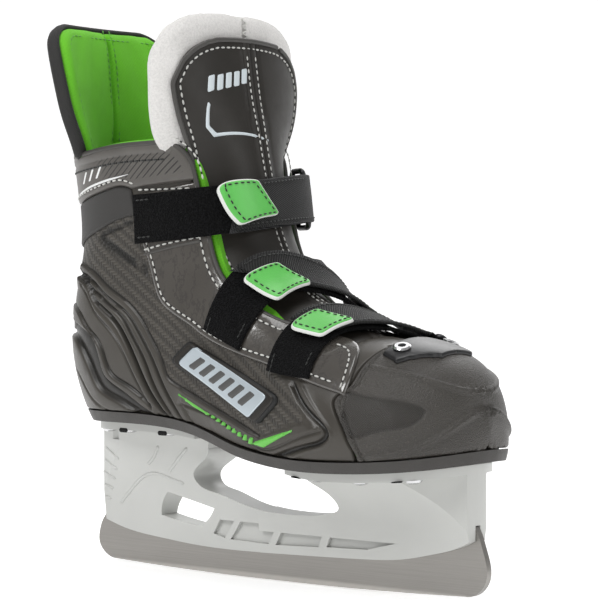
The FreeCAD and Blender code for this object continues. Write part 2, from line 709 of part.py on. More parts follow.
HINGES = {}
rings = {}
for name, (lateral, crown, medial, bulge, tab_corners, flap_end, hook_span) in STRAPS.items():
    line = StrapLine(lateral, crown, medial, bulge)
    width = size("strap_width")
    fold, way = line.at(line.medial.y, BAR_LEVEL, bulge)
    if way.y < 0 and line.out.dot(way) > 0:
        way = way * -1
    out = line.outward(way)
    if way.dot(line.medial - line.lateral) < 0:
        way = way * -1
    past_fold = turned_box(fold, way, out, (0, -20, -60), (60, 40, 60))
    past_flap = turned_box(fold, way, out, (-MOVE, -20, -60), (60, 40, 60))

    base = line.piece(BASE_OUT, BASE_IN, line.lateral, fold + way * 2.5, bulge, width).cut(past_fold)
    loop = tube(fold, line.normal, EYE_OUT, EYE_IN, width)
    loop = loop.common(turned_box(fold, way, out, (-0.2, -20, -60), (20, 20, 60)))
    bar_space = Part.makeCylinder(EYE_IN, width + 4, fold - line.normal * (width / 2 + 2), line.normal)
    base = base.fuse(loop).removeSplitter().cut(bar_space).cut(form(BASE_IN - 0.1))
    keep(name + "_strap_base", base)

    flap_start, _ = line.at(flap_end * WIDE, FLAP_IN, bulge)
    flap = line.piece(FLAP_OUT, FLAP_IN, flap_start, fold + way * 2.5, bulge, width).cut(past_flap)
    bar_end = fold - line.normal * (width / 2 + 2)
    flap = flap.cut(Part.makeCylinder(EYE_IN + 0.2, width + 4, bar_end, line.normal))
    keep(name + "_strap_flap", flap)

    tab = layer(TAB_OUT, TAB_IN, over_corners([point(p) for p in tab_corners]), bulge)
    keep(name + "_strap_tab", tab)

    hook_start, _ = line.at(hook_span[0] * WIDE, HOOK_IN, bulge)
    hook_end, _ = line.at(hook_span[1] * WIDE, HOOK_IN, bulge)
    keep(name + "_strap_hook", line.piece(HOOK_OUT, HOOK_IN, hook_start, hook_end, bulge, width - 1.0))

    # ring centre bars: one in the strap's loop, one in the keeper's eye on the inner facing
    eye_level = COVER_TOP + 1.0 + EYE_OUT
    points = [p for p in line.curve(eye_level, 0.0) if (p - fold).dot(way) > 0 and p.y > 0]
    eye = min(points, key=lambda p: abs((p - fold).Length - RING_HEIGHT))
    index = line.curve(eye_level, 0.0).index(eye)
    ring_way = (eye - fold).normalize()
    rings[name] = (fold, eye, ring_way, line.normal)
    down = line.curve(eye_level, 0.0)[index + 1] - eye
    if down.dot(ring_way) < 0:
        down = line.curve(eye_level, 0.0)[index - 1] - eye
    down = down.normalize()
    foot = line.outward(down)
    if foot.y < 0:
        foot = foot * -1
    plate = layer(COVER_TOP + 2.4 * STRAP, COVER_TOP + 0.2,
                  turned_box(eye, down, foot, (0, -12, -width / 2), (KEEPER_LENGTH, 6, width / 2)))
    keeper = plate.fuse(tube(eye, line.normal, EYE_OUT, EYE_IN - 0.01, width))
    keeper = keeper.cut(Part.makeCylinder(EYE_IN, width + 2, eye - line.normal * (width / 2 + 1), line.normal))
    keep(name + "_strap_keeper", keeper)

    hinge = fold + out * (FLAP_OUT - BAR_LEVEL + 0.9) - way * MOVE
    HINGES[name] = (hinge, line.normal)
    print("hinge", name, [round(v, 2) for v in hinge], [round(v, 4) for v in line.normal],
          "fold", [round(v, 2) for v in fold])


def ring_body(name, fold, eye, ring_way, normal):
    """Wire ring: a rounded rectangle swept with a round bar."""
    body = new_body(name)
    wire = size("ring_wire")
    high, wide = (eye - fold).Length, size("strap_width") + 1.6 + wire
    r = 2.0
    path = sketch_on(body, "XY_Plane", name + "_path")
    corners = [(wide / 2 - r, high / 2 - r, 0), (-wide / 2 + r, high / 2 - r, 90),
               (-wide / 2 + r, -high / 2 + r, 180), (wide / 2 - r, -high / 2 + r, 270)]
    ends = []
    for x, y, turn in corners:
        arc = Part.ArcOfCircle(Part.Circle(V(x, y, 0), V(0, 0, 1), r), math.radians(turn), math.radians(turn + 90))
        path.addGeometry(arc, False)
        ends.append((arc.StartPoint, arc.EndPoint))
    for i in range(4):
        path.addGeometry(Part.LineSegment(ends[i][1], ends[(i + 1) % 4][0]), False)
    profile = sketch_on(body, "XZ_Plane", name + "_bar")
    circle(profile, wide / 2, 0, "ring_wire")
    doc.recompute()
    pipe = body.newObject("PartDesign::AdditivePipe", name + "_wire")
    pipe.Profile = profile
    pipe.Spine = (path, ["Edge%d" % (i + 1) for i in range(8)])
    body.Tip = pipe
    third = normal.cross(ring_way)
    middle = (fold + eye) * 0.5
    matrix = FreeCAD.Matrix(normal.x, ring_way.x, third.x, middle.x,
                            normal.y, ring_way.y, third.y, middle.y,
                            normal.z, ring_way.z, third.z, middle.z, 0, 0, 0, 1)
    body.Placement = FreeCAD.Placement(matrix)
    PARTS.append(body)


for name, (fold, eye, ring_way, normal) in rings.items():
    ring_body(name + "_strap_ring", fold, eye, ring_way, normal)

# ---------------------------------------------------------------- side badges
BADGE = side([(-26.8, 88.8), (-16.8, 96.5), (27.4, 77.3), (16.4, 67.8)])


def shrunk(points, by):
    """Outline moved inwards by real millimetres."""
    cx = sum(p[0] for p in points) / len(points)
    cz = sum(p[1] for p in points) / len(points)
    moved = []
    for x, z in points:
        length = math.hypot(x - cx, z - cz)
        moved.append((x - (x - cx) / length * by * 1.6, z - (z - cz) / length * by * 0.9))
    return moved


def corners(points):
    """Straight-edged outline."""
    return [[a, b] for a, b in zip(points, points[1:] + points[:1])]


frame_zone = side_prism(corners(BADGE)).cut(side_prism(corners(shrunk(BADGE, 2.0))))
plate_zone = side_prism(corners(shrunk(BADGE, 2.25)))
badge_frames = layer(ON_SHELL + 1.6, ON_SHELL, frame_zone)
badge_plates = layer(ON_SHELL + 1.1, ON_SHELL, plate_zone)
keep("badge_frame_lateral", badge_frames.common(half_space_outer))
keep("badge_frame_medial", badge_frames.common(half_space_inner))
keep("badge_plate_lateral", badge_plates.common(half_space_outer))
keep("badge_plate_medial", badge_plates.common(half_space_inner))

# ---------------------------------------------------------------- toe plate and eyelets
CAP_TOP = size("toe_cap_thickness") - SHELL
toe_plan = [(px(x), y * WIDE) for x, y in
            [(65.5, -21), (73.5, -23), (84, -9), (84, 9), (73.5, 23), (65.5, 21)]]
toe_plate = layer(CAP_TOP + 1.3, CAP_TOP + 0.1, plan_prism(corners(toe_plan), pz(80), pz(110)))

EYELETS = [(71.3, -16.5), (71.3, 16.5)]
spots = []
for x, y in EYELETS:
    line = Part.makeLine(V(px(x), y * WIDE, pz(80)), V(px(x), y * WIDE, pz(120)))
    skin = form(CAP_TOP + 1.3)
    top = max((v.Point for v in line.common(skin).Vertexes), key=lambda p: p.z)
    low = max((v.Point for v in line.common(form(-SHELL)).Vertexes), key=lambda p: p.z)
    near = min(skin.Faces, key=lambda f: f.distToShape(Part.Vertex(top))[0])
    u, v = near.Surface.parameter(top)
    normal = near.normalAt(u, v)
    if normal.z < 0:
        normal = normal * -1
    spots.append((top, normal, (top - low).dot(normal)))

eyelet_body = new_body("toe_eyelet_master")
profile = sketch_on(eyelet_body, "XZ_Plane", "toe_eyelet_profile")
bore, wall, rim = size("eyelet_bore") / 2, 0.5, size("eyelet_outer") / 2
draw(profile, corners([(bore, -3.9), (bore + wall, -3.9), (bore + wall, 0.05), (rim, 0.05), (rim, 0.4),
                       (rim - 0.6, 0.9), (bore, 0.9)]))
turn = eyelet_body.newObject("PartDesign::Revolution", "toe_eyelet_turn")
turn.Profile = profile
turn.ReferenceAxis = (profile, ["V_Axis"])
turn.Angle = 360
eyelet_body.Tip = turn
doc.recompute()

eyelets = []
for top, normal, _ in spots:
    ring = eyelet_body.Shape.copy()
    ring.Placement = FreeCAD.Placement(top + normal * 0.05, FreeCAD.Rotation(V(0, 0, 1), normal))
    eyelets.append(ring)
    hole = Part.makeCylinder(bore + wall + 0.1, 12, top - normal * 6, normal)
    toe_plate = toe_plate.cut(hole)
    toe_cap = toe_cap.cut(hole)
keep("toe_plate", toe_plate)
keep("toe_cap", toe_cap)
keep("toe_eyelets", Part.makeCompound(eyelets))

# ---------------------------------------------------------------- blade holder
HALF_RAIL = size("rail_width") / 2
TOP_GAP = 0.1
RISE = size("flange_thickness")


sole_curve = Part.BSplineCurve()
sole_curve.interpolate(Points=[V(x, 0, z) for x, z in sole(0)])


def under_sole(x, drop):
    """Height of the smooth sole line at x, less a drop; x in base size."""
    low, high = sole_curve.FirstParameter, sole_curve.LastParameter
    for _ in range(40):
        middle = (low + high) / 2
        if sole_curve.value(middle).x < px(x):
            low = middle
        else:
            high = middle
    return sole_curve.value(low).z - drop


holder = new_body("holder")
holder_side = sketch_on(holder, "XZ_Plane", "holder_side")
tower_top = 1.2


def sole_run(low_x, high_x, drop, steps=12):
    """Points along the underside of the sole, less a drop."""
    xs = [low_x + (high_x - low_x) * i / steps for i in range(steps + 1)]
    return [(px(x), under_sole(x, drop)) for x in xs]


rear_top = sole_run(-97, -28, tower_top)
front_top = sole_run(21, 98, tower_top)
draw(holder_side, [
    rear_top,
    [rear_top[-1], side([(-29.5, 53)])[0]],
    side([(-29.5, 53), (-36, 45.5), (-40, 40.5), (-38, 37.2), (-30, 34.4), (-17, 30.7), (3.5, 28), (20, 28.2),
          (30, 29.8), (35.2, 32.6), (33.5, 36.8), (28, 41), (22.3, 45.4)]),
    [side([(22.3, 45.4)])[0], front_top[0]],
    front_top,
    [front_top[-1], side([(96.2, 46.5)])[0]],
    side([(96.2, 46.5), (98.4, 41), (99.6, 36), (101.6, 30.5), (97.7, 25)]),
    side([(97.7, 25), (91, 21.3), (76, 16.8), (62, 13.9), (47, 12.7), (20, 11.8), (1, 11.3), (-23, 10.9),
          (-45, 11.6), (-61.5, 13), (-85.5, 16.5), (-98.6, 20.4), (-101.6, 21)]),
    side([(-101.6, 21), (-103.4, 25), (-102.8, 31), (-101, 38), (-98.6, 45), (-96.6, 53)]),
    [side([(-96.6, 53)])[0], rear_top[0]],
])
draw(holder_side, [side([(-56, 33), (-44, 30.4), (-31.3, 27.6)]),
                   side([(-31.3, 27.6), (-35, 23), (-39.5, 19.6)]),
                   side([(-39.5, 19.6), (-50, 20.8), (-61, 22.8)]),
                   side([(-61, 22.8), (-60.5, 26), (-56, 33)])])
doc.recompute()
add_pad(holder, holder_side, "holder_block", 2 * 24 * WIDE, "2 * 24 * Sizes.boot_width / %g" % BASE_WIDTH)


def taper(name, low_x, high_x, rows):
    """Cut the block to its width at each height between two stations."""
    for sign, tag in ((1, "inner"), (-1, "outer")):
        sketch = sketch_on(holder, "YZ_Plane", "%s_%s" % (name, tag), px((low_x + high_x) / 2))
        far = sign * 60.0
        points = [(sign * y, z) for y, z in rows]
        draw(sketch, [[(far, rows[0][1]), points[0]], points, [points[-1], (far, rows[-1][1])],
                      [(far, rows[-1][1]), (far, rows[0][1])]])
        doc.recompute()
        add_pocket(holder, sketch, "%s_%s_cut" % (name, tag), px(high_x - low_x), both_ways=True)


taper("front_tower", -8, 130, [(HALF_RAIL, -5), (HALF_RAIL, pz(20)), (HALF_RAIL + 1.2, pz(26)),
                               (HALF_RAIL + 4, pz(33)), (HALF_RAIL + 8, pz(40)), (HALF_RAIL + 12, pz(47)),
                               (HALF_RAIL + 12.1, pz(60))])
taper("rear_tower", -130, -8, [(HALF_RAIL, -5), (HALF_RAIL, pz(23)), (HALF_RAIL + 1.2, pz(30)),
                               (HALF_RAIL + 3, pz(38)), (HALF_RAIL + 5.5, pz(47)), (HALF_RAIL + 7.5, pz(56)),
                               (HALF_RAIL + 7.6, pz(80))])

# both towers narrow towards the ends of the holder
tower_plan = sketch_on(holder, "XY_Plane", "tower_plan", -10)
pinch = [(108, 0), (104, 4.6), (96, 6), (88, 9.5), (76, 14.5), (60, 18), (20, 20), (-20, 20), (-60, 18),
         (-74, 13.5), (-86, 9), (-95, 5.8), (-104, 4.6), (-108, 0)]
pinch_right = [(px(x), y * WIDE) for x, y in pinch]
pinch_left = [(x, -y) for x, y in reversed(pinch_right)]
draw(tower_plan, [pinch_right[:2], pinch_right[1:-1], pinch_right[-2:], pinch_left[:2], pinch_left[1:-1],
                  pinch_left[-2:]])
draw(tower_plan, corners([(160, 80), (160, -80), (-160, -80), (-160, 80)]))
doc.recompute()
add_pocket(holder, tower_plan, "tower_outline", 150, backwards=True)

# flange plates under the sole
flange_side = sketch_on(holder, "XZ_Plane", "flange_side")
for low_x, high_x in ((-98, -28.5), (21.5, 99)):
    upper_line = sole_run(low_x, high_x, TOP_GAP)
    lower_line = sole_run(low_x, high_x, TOP_GAP + RISE)[::-1]
    draw(flange_side, [upper_line, [upper_line[-1], lower_line[0]], lower_line, [lower_line[-1], upper_line[0]]])
doc.recompute()
add_pad(holder, flange_side, "flanges", 2 * 38 * WIDE, "2 * 38 * Sizes.boot_width / %g" % BASE_WIDTH)

flange_plan = sketch_on(holder, "XY_Plane", "flange_plan", -10)
plan = [(95, 0), (93.2, 11), (87.5, 21), (76, 28.5), (60, 32), (40, 31), (24, 26.5), (10, 23), (-10, 21.5),
        (-30, 21.5), (-60, 21.5), (-76, 20), (-87, 14.5), (-92, 8), (-93.5, 0)]
rim_right = [(px(x), y * WIDE) for x, y in plan]
rim_left = [(x, -y) for x, y in reversed(rim_right)]
draw(flange_plan, [rim_right, rim_left])
draw(flange_plan, corners([(160, 80), (160, -80), (-160, -80), (-160, 80)]))
doc.recompute()
add_pocket(holder, flange_plan, "flange_outline", 150, backwards=True)

# slot for the runner
RUNNER_TOP = side([(-92, 30), (-80, 29), (-64, 20.5), (-40, 15.5), (-10, 14.2), (20, 14.6), (50, 16), (66, 19),
                   (78, 27), (92, 29)])
slot_side = sketch_on(holder, "XZ_Plane", "slot_side")
slot_top = shift_line(RUNNER_TOP, 0, 0.4)
draw(slot_side, [slot_top, [slot_top[-1], (px(96.5), pz(29))], [(px(96.5), pz(29)), (px(98.2), pz(5))],
                 [(px(98.2), pz(5)), (px(-97.2), pz(5))], [(px(-97.2), pz(5)), (px(-96), pz(30))],
                 [(px(-96), pz(30)), slot_top[0]]])
doc.recompute()
add_pocket(holder, slot_side, "runner_slot", size("runner_thickness") + 2 * size("runner_gap"),
           "Sizes.runner_thickness + 2 * Sizes.runner_gap", both_ways=True)

# recessed panels between the slanted ribs low on the rail
PANELS = [
    [(-27, 26), (-20, 24.9), (-27, 15.5), (-33, 17)],
    [(-17, 24.4), (1.5, 23.3), (-3.5, 14.8), (-24, 15.2)],
    [(5, 23.1), (26, 24), (22, 15.6), (0, 14.8)],
    [(30, 24.4), (42, 27), (60, 20), (46, 16.5), (26, 15.9)],
]
RAIL_SHARE = 0.2
recess = size("rail_width") * RAIL_SHARE
for sign, tag in ((1, "inner"), (-1, "outer")):
    face = sketch_on(holder, "XZ_Plane", "panels_" + tag, -sign * HALF_RAIL)
    for panel in PANELS:
        draw(face, corners(side(panel)))
    doc.recompute()
    add_pocket(holder, face, "panels_%s_cut" % tag, recess, "Sizes.rail_width * %g" % RAIL_SHARE,
               backwards=(sign > 0))

# hollow inside each tower, open to the sole
CAVITIES = [("front_cavity", 37, [(37, 4), (35, 6), (38, 7.5), (60, 8), (80, 7.5), (85, 4)]),
            ("rear_cavity", 45.5, [(-46, 4), (-44, 5.5), (-48, 6.5), (-70, 6.5), (-84, 5.5), (-87, 3.5)])]
for name, floor, half_plan in CAVITIES:
    cavity = sketch_on(holder, "XY_Plane", name, pz(floor))
    right = [(px(x), y * WIDE) for x, y in half_plan]
    left = [(x, -y) for x, y in reversed(right)]
    draw(cavity, [right, [right[-1], left[0]], left, [left[-1], right[0]]])
    doc.recompute()
    add_pocket(holder, cavity, name + "_cut", 60, backwards=True)

# runner bolts: in from the inner side, blind on the outer side
BOLTS = side([(86, 23.6), (-88, 24.2)])
HEAD_SEAT = 2.6
BLIND = 3.8
for alias, name, start, stop in (("bolt_diameter", "bolt_bores", 12.0, -BLIND),
                                 ("bolt_head", "head_bores", 12.0, HEAD_SEAT)):
    holes = sketch_on(holder, "XZ_Plane", name, -start)
    for x, z in BOLTS:
        circle(holes, x, z, alias, 0.3)
    doc.recompute()
    add_pocket(holder, holes, name + "_cut", start - stop, backwards=True)
doc.recompute()
PARTS.append(holder)

# ---------------------------------------------------------------- runner
runner = new_body("runner")
runner_side = sketch_on(runner, "XZ_Plane", "runner_side")
HALF_RUN = size("runner_length") / 2
HALF_FLAT = size("flat_length") / 2
END_CURVE = 10.0


def edge_height(x):
    """Height of the curved running edge."""
    return size("rocker_rise") * ((abs(x) - HALF_FLAT) / (HALF_RUN - HALF_FLAT)) ** 2


bottom = [HALF_FLAT + (HALF_RUN - END_CURVE - HALF_FLAT) * i / 4 for i in range(5)]
front_bottom = [(x, edge_height(x)) for x in bottom]
rear_bottom = [(-x, z) for x, z in reversed(front_bottom)]
heel_end = [(-HALF_RUN + 5.5, pz(28.9)), (-HALF_RUN + 4.4, pz(26.5)), (-HALF_RUN + 4.0, pz(21)),
            (-HALF_RUN + 2.2, pz(18.2)), (-HALF_RUN + 0.4, pz(14)), (-HALF_RUN, pz(8.5)),
            (-HALF_RUN + 3, pz(4.2)), rear_bottom[0]]
toe_end = [front_bottom[-1], (HALF_RUN - 3, pz(4.2)), (HALF_RUN, pz(9.5)), (HALF_RUN - 0.3, pz(15)),
           (HALF_RUN - 2.2, pz(21)), (HALF_RUN - 4, pz(26)), (HALF_RUN - 5.5, pz(28.6))]
runner_top = [p for p in reversed(RUNNER_TOP)]
draw(runner_side, [rear_bottom, [rear_bottom[-1], front_bottom[0]], front_bottom, toe_end,
                   [toe_end[-1], runner_top[0]], runner_top, [runner_top[-1], heel_end[0]], heel_end])
for x, z in BOLTS:
    circle(runner_side, x, z, "bolt_diameter", 0.2)
doc.recompute()
add_pad(runner, runner_side, "runner_blank", size("runner_thickness"), "Sizes.runner_thickness")
doc.recompute()
PARTS.append(runner)


def turned_master(name, role, points):
    """Turned part: half profile (radius, height) revolved about the sketch's upright axis."""
    body = new_body(name)
    half = sketch_on(body, role, name + "_profile")
    draw(half, corners(points))
    doc.recompute()
    spin = body.newObject("PartDesign::Revolution", name + "_turn")
    spin.Profile = half
    spin.ReferenceAxis = (half, ["V_Axis"])
    spin.Angle = 360
    body.Tip = spin
    doc.recompute()
    return body


def placed(master, where, direction):
    """Copy of a master with its upright axis along a direction."""
    copy = master.Shape.copy()
    copy.Placement = FreeCAD.Placement(where, FreeCAD.Rotation(V(0, 0, 1), direction))
    return copy


# bolt: z = 0 under the head, shank downwards, hexagon socket in the head
shank, head = size("bolt_diameter") / 2, size("bolt_head") / 2
bolt_master = turned_master("runner_bolt_master", "XZ_Plane",
                            [(0, -HEAD_SEAT - BLIND + 0.3), (shank, -HEAD_SEAT - BLIND + 0.3), (shank, 0),
                             (head, 0), (head, 2.0), (head - 0.5, 2.5), (0, 2.5)])
socket = sketch_on(bolt_master, "XY_Plane", "bolt_socket", 2.5)
hexagon = [(1.5 * math.cos(math.radians(60 * i)), 1.5 * math.sin(math.radians(60 * i))) for i in range(6)]
draw(socket, corners(hexagon))
doc.recompute()
add_pocket(bolt_master, socket, "bolt_socket_cut", 1.5)
doc.recompute()
keep("runner_bolts", Part.makeCompound([placed(bolt_master, V(x, HEAD_SEAT, z), V(0, 1, 0)) for x, z in BOLTS]))

# ---------------------------------------------------------------- sole rivets
STACK = TOP_GAP + size("outsole_thickness") + LAYER + size("board_thickness")
WASHER = 0.8
TAIL = 0.7
SPOT_FACE = 0.15
seat = RISE - SPOT_FACE + STACK - WASHER - TAIL - 0.3
shank, head = size("rivet_diameter") / 2, size("rivet_head") / 2
rivet_master = turned_master("rivet_master", "XZ_Plane",
                             [(0, -1.6), (head * 0.5, -1.45), (head * 0.85, -0.9), (head, 0), (shank, 0),
                              (shank, seat + WASHER), (head - 0.5, seat + WASHER),
                              (head - 0.8, seat + WASHER + TAIL), (0, seat + WASHER + TAIL)])
washer_master = turned_master("washer_master", "XZ_Plane",
                              [(shank + 0.05, seat), (size("washer_diameter") / 2, seat),
                               (size("washer_diameter") / 2, seat + WASHER), (shank + 0.05, seat + WASHER)])
RIVETS = {"front_rivets": [(36, 23.5), (58, 25), (81, 22.5)], "rear_rivets": [(-46, 17), (-68, 17), (-83, 13)]}
washers = []
holder_holes = []
for name, spots in RIVETS.items():
    copies = []
    for x, y in spots:
        for sign in (-1, 1):
            run = px(x + 3) - px(x - 3)
            climb = under_sole(x + 3, 0) - under_sole(x - 3, 0)
            up = V(-climb, 0, run).normalize()
            foot = V(px(x), sign * y * WIDE, under_sole(x, TOP_GAP + RISE - SPOT_FACE))
            copies.append(placed(rivet_master, foot, up))
            washers.append(placed(washer_master, foot, up))
            bore = Part.makeCylinder(shank + 0.1, 30, foot - up * 2, up)
            board = board.cut(bore)
            outsole = outsole.cut(bore)
            board = board.cut(Part.makeCylinder(size("washer_diameter") / 2 + 0.15, 6, foot + up * seat, up))
            holder_holes.append((foot, up))
    keep(name, Part.makeCompound(copies))
keep("rivet_washers", Part.makeCompound(washers))

bores = doc.addObject("Part::Feature", "rivet_bores")
shafts = [Part.makeCylinder(shank + 0.1, 14, foot - up * 5, up) for foot, up in holder_holes]
bores.Shape = Part.makeCompound(shafts)
faces = [Part.makeCylinder(head + 0.4, 5, foot - up * 5, up) for foot, up in holder_holes]
seats = doc.addObject("Part::Feature", "rivet_seats")
seats.Shape = Part.makeCompound(faces)
PARTS.remove(holder)
drilled = doc.addObject("Part::Cut", "holder_bored")
drilled.Base = holder
drilled.Tool = bores
spot_faced = doc.addObject("Part::Cut", "holder_part")
spot_faced.Base = drilled
spot_faced.Tool = seats
holder.Label = "holder_moulding"
spot_faced.Label = "holder"
doc.recompute()
PARTS.append(spot_faced)
keep("midsole_board", board)
keep("outsole", outsole)
keep("lining", lining)

# ---------------------------------------------------------------- write the sub-parts
doc.recompute()
for item in doc.Objects:
    if "Invalid" in item.State or "Error" in item.State:
        raise RuntimeError("feature failed: %s %s" % (item.Name, item.State))
os.makedirs("parts", exist_ok=True)
for part in PARTS:
    if part.Shape.isNull() or not part.Shape.isValid():
        raise RuntimeError("bad shape: " + part.Label)
    part.Shape.exportStep("parts/%s.step" % part.Label)
    print(part.Label, len(part.Shape.Solids), "solid", round(part.Shape.Volume, 1))
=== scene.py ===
import math

import bpy
import numpy as np
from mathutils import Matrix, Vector
from mathutils.bvhtree import BVHTree
from mathutils.geometry import delaunay_2d_cdt
from mathutils.kdtree import KDTree


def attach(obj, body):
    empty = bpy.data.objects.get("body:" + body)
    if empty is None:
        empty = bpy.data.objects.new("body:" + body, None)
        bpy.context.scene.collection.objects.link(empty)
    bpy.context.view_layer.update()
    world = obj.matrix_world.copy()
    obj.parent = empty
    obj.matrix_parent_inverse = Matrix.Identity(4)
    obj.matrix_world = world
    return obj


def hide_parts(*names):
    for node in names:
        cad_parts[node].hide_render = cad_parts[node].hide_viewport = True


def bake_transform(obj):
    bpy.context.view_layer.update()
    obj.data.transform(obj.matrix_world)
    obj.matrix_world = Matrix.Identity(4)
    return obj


# Looks of a right-foot youth ice skate.  Shapes are worked out in millimetres and written
# in metres.  +X to the toe, +Y to the inner side, +Z up, Z = 0 at the running edge.

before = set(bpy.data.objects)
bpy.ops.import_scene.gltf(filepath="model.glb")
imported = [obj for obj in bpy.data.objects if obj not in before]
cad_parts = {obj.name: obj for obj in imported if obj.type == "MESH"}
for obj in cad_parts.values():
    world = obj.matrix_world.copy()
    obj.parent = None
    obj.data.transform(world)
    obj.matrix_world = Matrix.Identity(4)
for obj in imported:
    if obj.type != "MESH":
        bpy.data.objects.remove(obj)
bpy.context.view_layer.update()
MM = 0.001
rng = np.random.default_rng(7)

# ---------------------------------------------------------------- boot form, as in the CAD
# back/bottom x, z; front/top x, z; half width; share of the widest point; roundness below
# and above; sideways shift
FORM = [
    (99.2, 66, 98.6, 70, 1.0, .50, 2.0, 2.0, 1),
    (98.3, 60, 96.8, 75.5, 8, .50, 2.2, 2.2, 1),
    (96.3, 48, 94.3, 83.5, 17, .45, 2.2, 2.2, 1),
    (91.5, 42, 88.5, 90.5, 26, .45, 2.2, 2.2, 1),
    (82, 39, 78, 95.5, 34, .46, 2.3, 2.2, 1),
    (66, 37, 62, 98.5, 39.5, .46, 2.3, 2.15, 1),
    (46, 36, 42, 102, 41, .44, 2.3, 2.2, .5),
    (24, 36, 24, 110, 39.5, .42, 2.3, 2.3, 0),
    (0, 39, 9.5, 119.5, 37, .42, 2.3, 2.4, 0),
    (-26, 46, 2, 131, 35, .44, 2.3, 2.6, 0),
    (-54, 49, -3, 142, 34.5, .45, 2.3, 2.8, 0),
    (-84, 52, -6, 153, 34.5, .46, 2.2, 3.0, 0),
    (-99.5, 69, -8, 163, 34.5, .47, 2.1, 3.2, 0),
    (-104.5, 88, -10, 172, 34.5, .47, 2.1, 3.3, 0),
    (-102.5, 108, -12, 182, 35, .48, 2.1, 3.4, 0),
    (-97.5, 128, -14.5, 193, 35.5, .50, 2.1, 3.6, 0),
    (-97.5, 148, -16.5, 205, 36, .50, 2.1, 3.8, 0),
    (-100.5, 168, -18.5, 220, 36.5, .50, 2.1, 4.0, 0),
    (-104, 194, -19.5, 236, 38, .50, 2.1, 4.0, 0),
]
LATERAL, MEDIAL = -1, 1


def cubic(knots, rows, at):
    """Natural cubic spline through rows of values at the knots."""
    knots, at = np.asarray(knots, float), np.asarray(at, float)
    rows = np.asarray(rows, float)
    shape = rows.shape[1:]
    y = rows.reshape(len(knots), -1)
    n, h = len(knots), np.diff(knots)
    system, right = np.zeros((n, n)), np.zeros_like(y)
    system[0, 0] = system[-1, -1] = 1
    for i in range(1, n - 1):
        system[i, i - 1:i + 2] = h[i - 1], 2 * (h[i - 1] + h[i]), h[i]
        right[i] = 6 * ((y[i + 1] - y[i]) / h[i] - (y[i] - y[i - 1]) / h[i - 1])
    c = np.linalg.solve(system, right)
    i = np.clip(np.searchsorted(knots, at, side="right") - 1, 0, n - 2)
    d, w = (at - knots[i])[:, None], h[i][:, None]
    e = w - d
    value = (c[i] * e ** 3 + c[i + 1] * d ** 3) / (6 * w)
    value += (y[i] / w - c[i] * w / 6) * e + (y[i + 1] / w - c[i + 1] * w / 6) * d
    return value.reshape((len(at),) + shape)


def lengths(points):
    """Distance along a line of points, from its start."""
    steps = np.linalg.norm(np.diff(points, axis=0), axis=1)
    return np.concatenate([[0], np.cumsum(steps)])


def spaced(points, step):
    """Points at equal steps along a line of points."""
    points = np.asarray(points, float)
    along = lengths(points)
    count = max(2, int(round(along[-1] / step)) + 1)
    at = np.linspace(0, along[-1], count)
    return np.stack([np.interp(at, along, points[:, i]) for i in range(points.shape[1])], 1)


def smooth(points, step=0.5):
    """Smooth curve through points, sampled at equal steps; two points give a straight line."""
    points = np.asarray(points, float)
    if len(points) < 3:
        return spaced(points, step)
    along = lengths(points)
    return spaced(cubic(along, points, np.linspace(0, along[-1], int(along[-1] / 0.2) + 8)), step)


def outline(*runs, step=0.8):
    """Closed outline from runs of points, each run smooth."""
    points = np.concatenate([smooth(run, step) for run in runs])
    points = spaced(np.concatenate([points, points[:1]]), step)[:-1]
    return points


def unit(vectors):
    """Vectors of length one."""
    return vectors / np.maximum(np.linalg.norm(vectors, axis=-1, keepdims=True), 1e-12)


class Patch:
    """Curved surface sampled on a grid; a and b are its coordinates in millimetres."""

    def __init__(self, points, step_a, step_b, outward):
        self.points = points
        self.step = (step_a, step_b)
        du = np.gradient(points, axis=0)
        dw = np.gradient(points, axis=1)
        normals = unit(np.cross(du, dw))
        flip = np.sign(np.sum(normals * outward(points), axis=-1).mean())
        self.normals = normals * (flip if flip else 1)

    def sample(self, grid, ab):
        """Bilinear values of a grid at places (a, b)."""
        u = np.clip(ab[:, 0] / self.step[0], 0, grid.shape[0] - 1.000001)
        w = np.clip(ab[:, 1] / self.step[1], 0, grid.shape[1] - 1.000001)
        i, j = u.astype(int), w.astype(int)
        f, g = (u - i)[:, None], (w - j)[:, None]
        low = grid[i, j] * (1 - g) + grid[i, j + 1] * g
        high = grid[i + 1, j] * (1 - g) + grid[i + 1, j + 1] * g
        return low * (1 - f) + high * f

    def at(self, ab, height=0.0):
        """Points at a height above the surface, and the surface's outward directions."""
        ab = np.atleast_2d(ab)
        normal = unit(self.sample(self.normals, ab))
        height = np.broadcast_to(np.asarray(height, float), (len(ab),))
        return self.sample(self.points, ab) + normal * height[:, None], normal


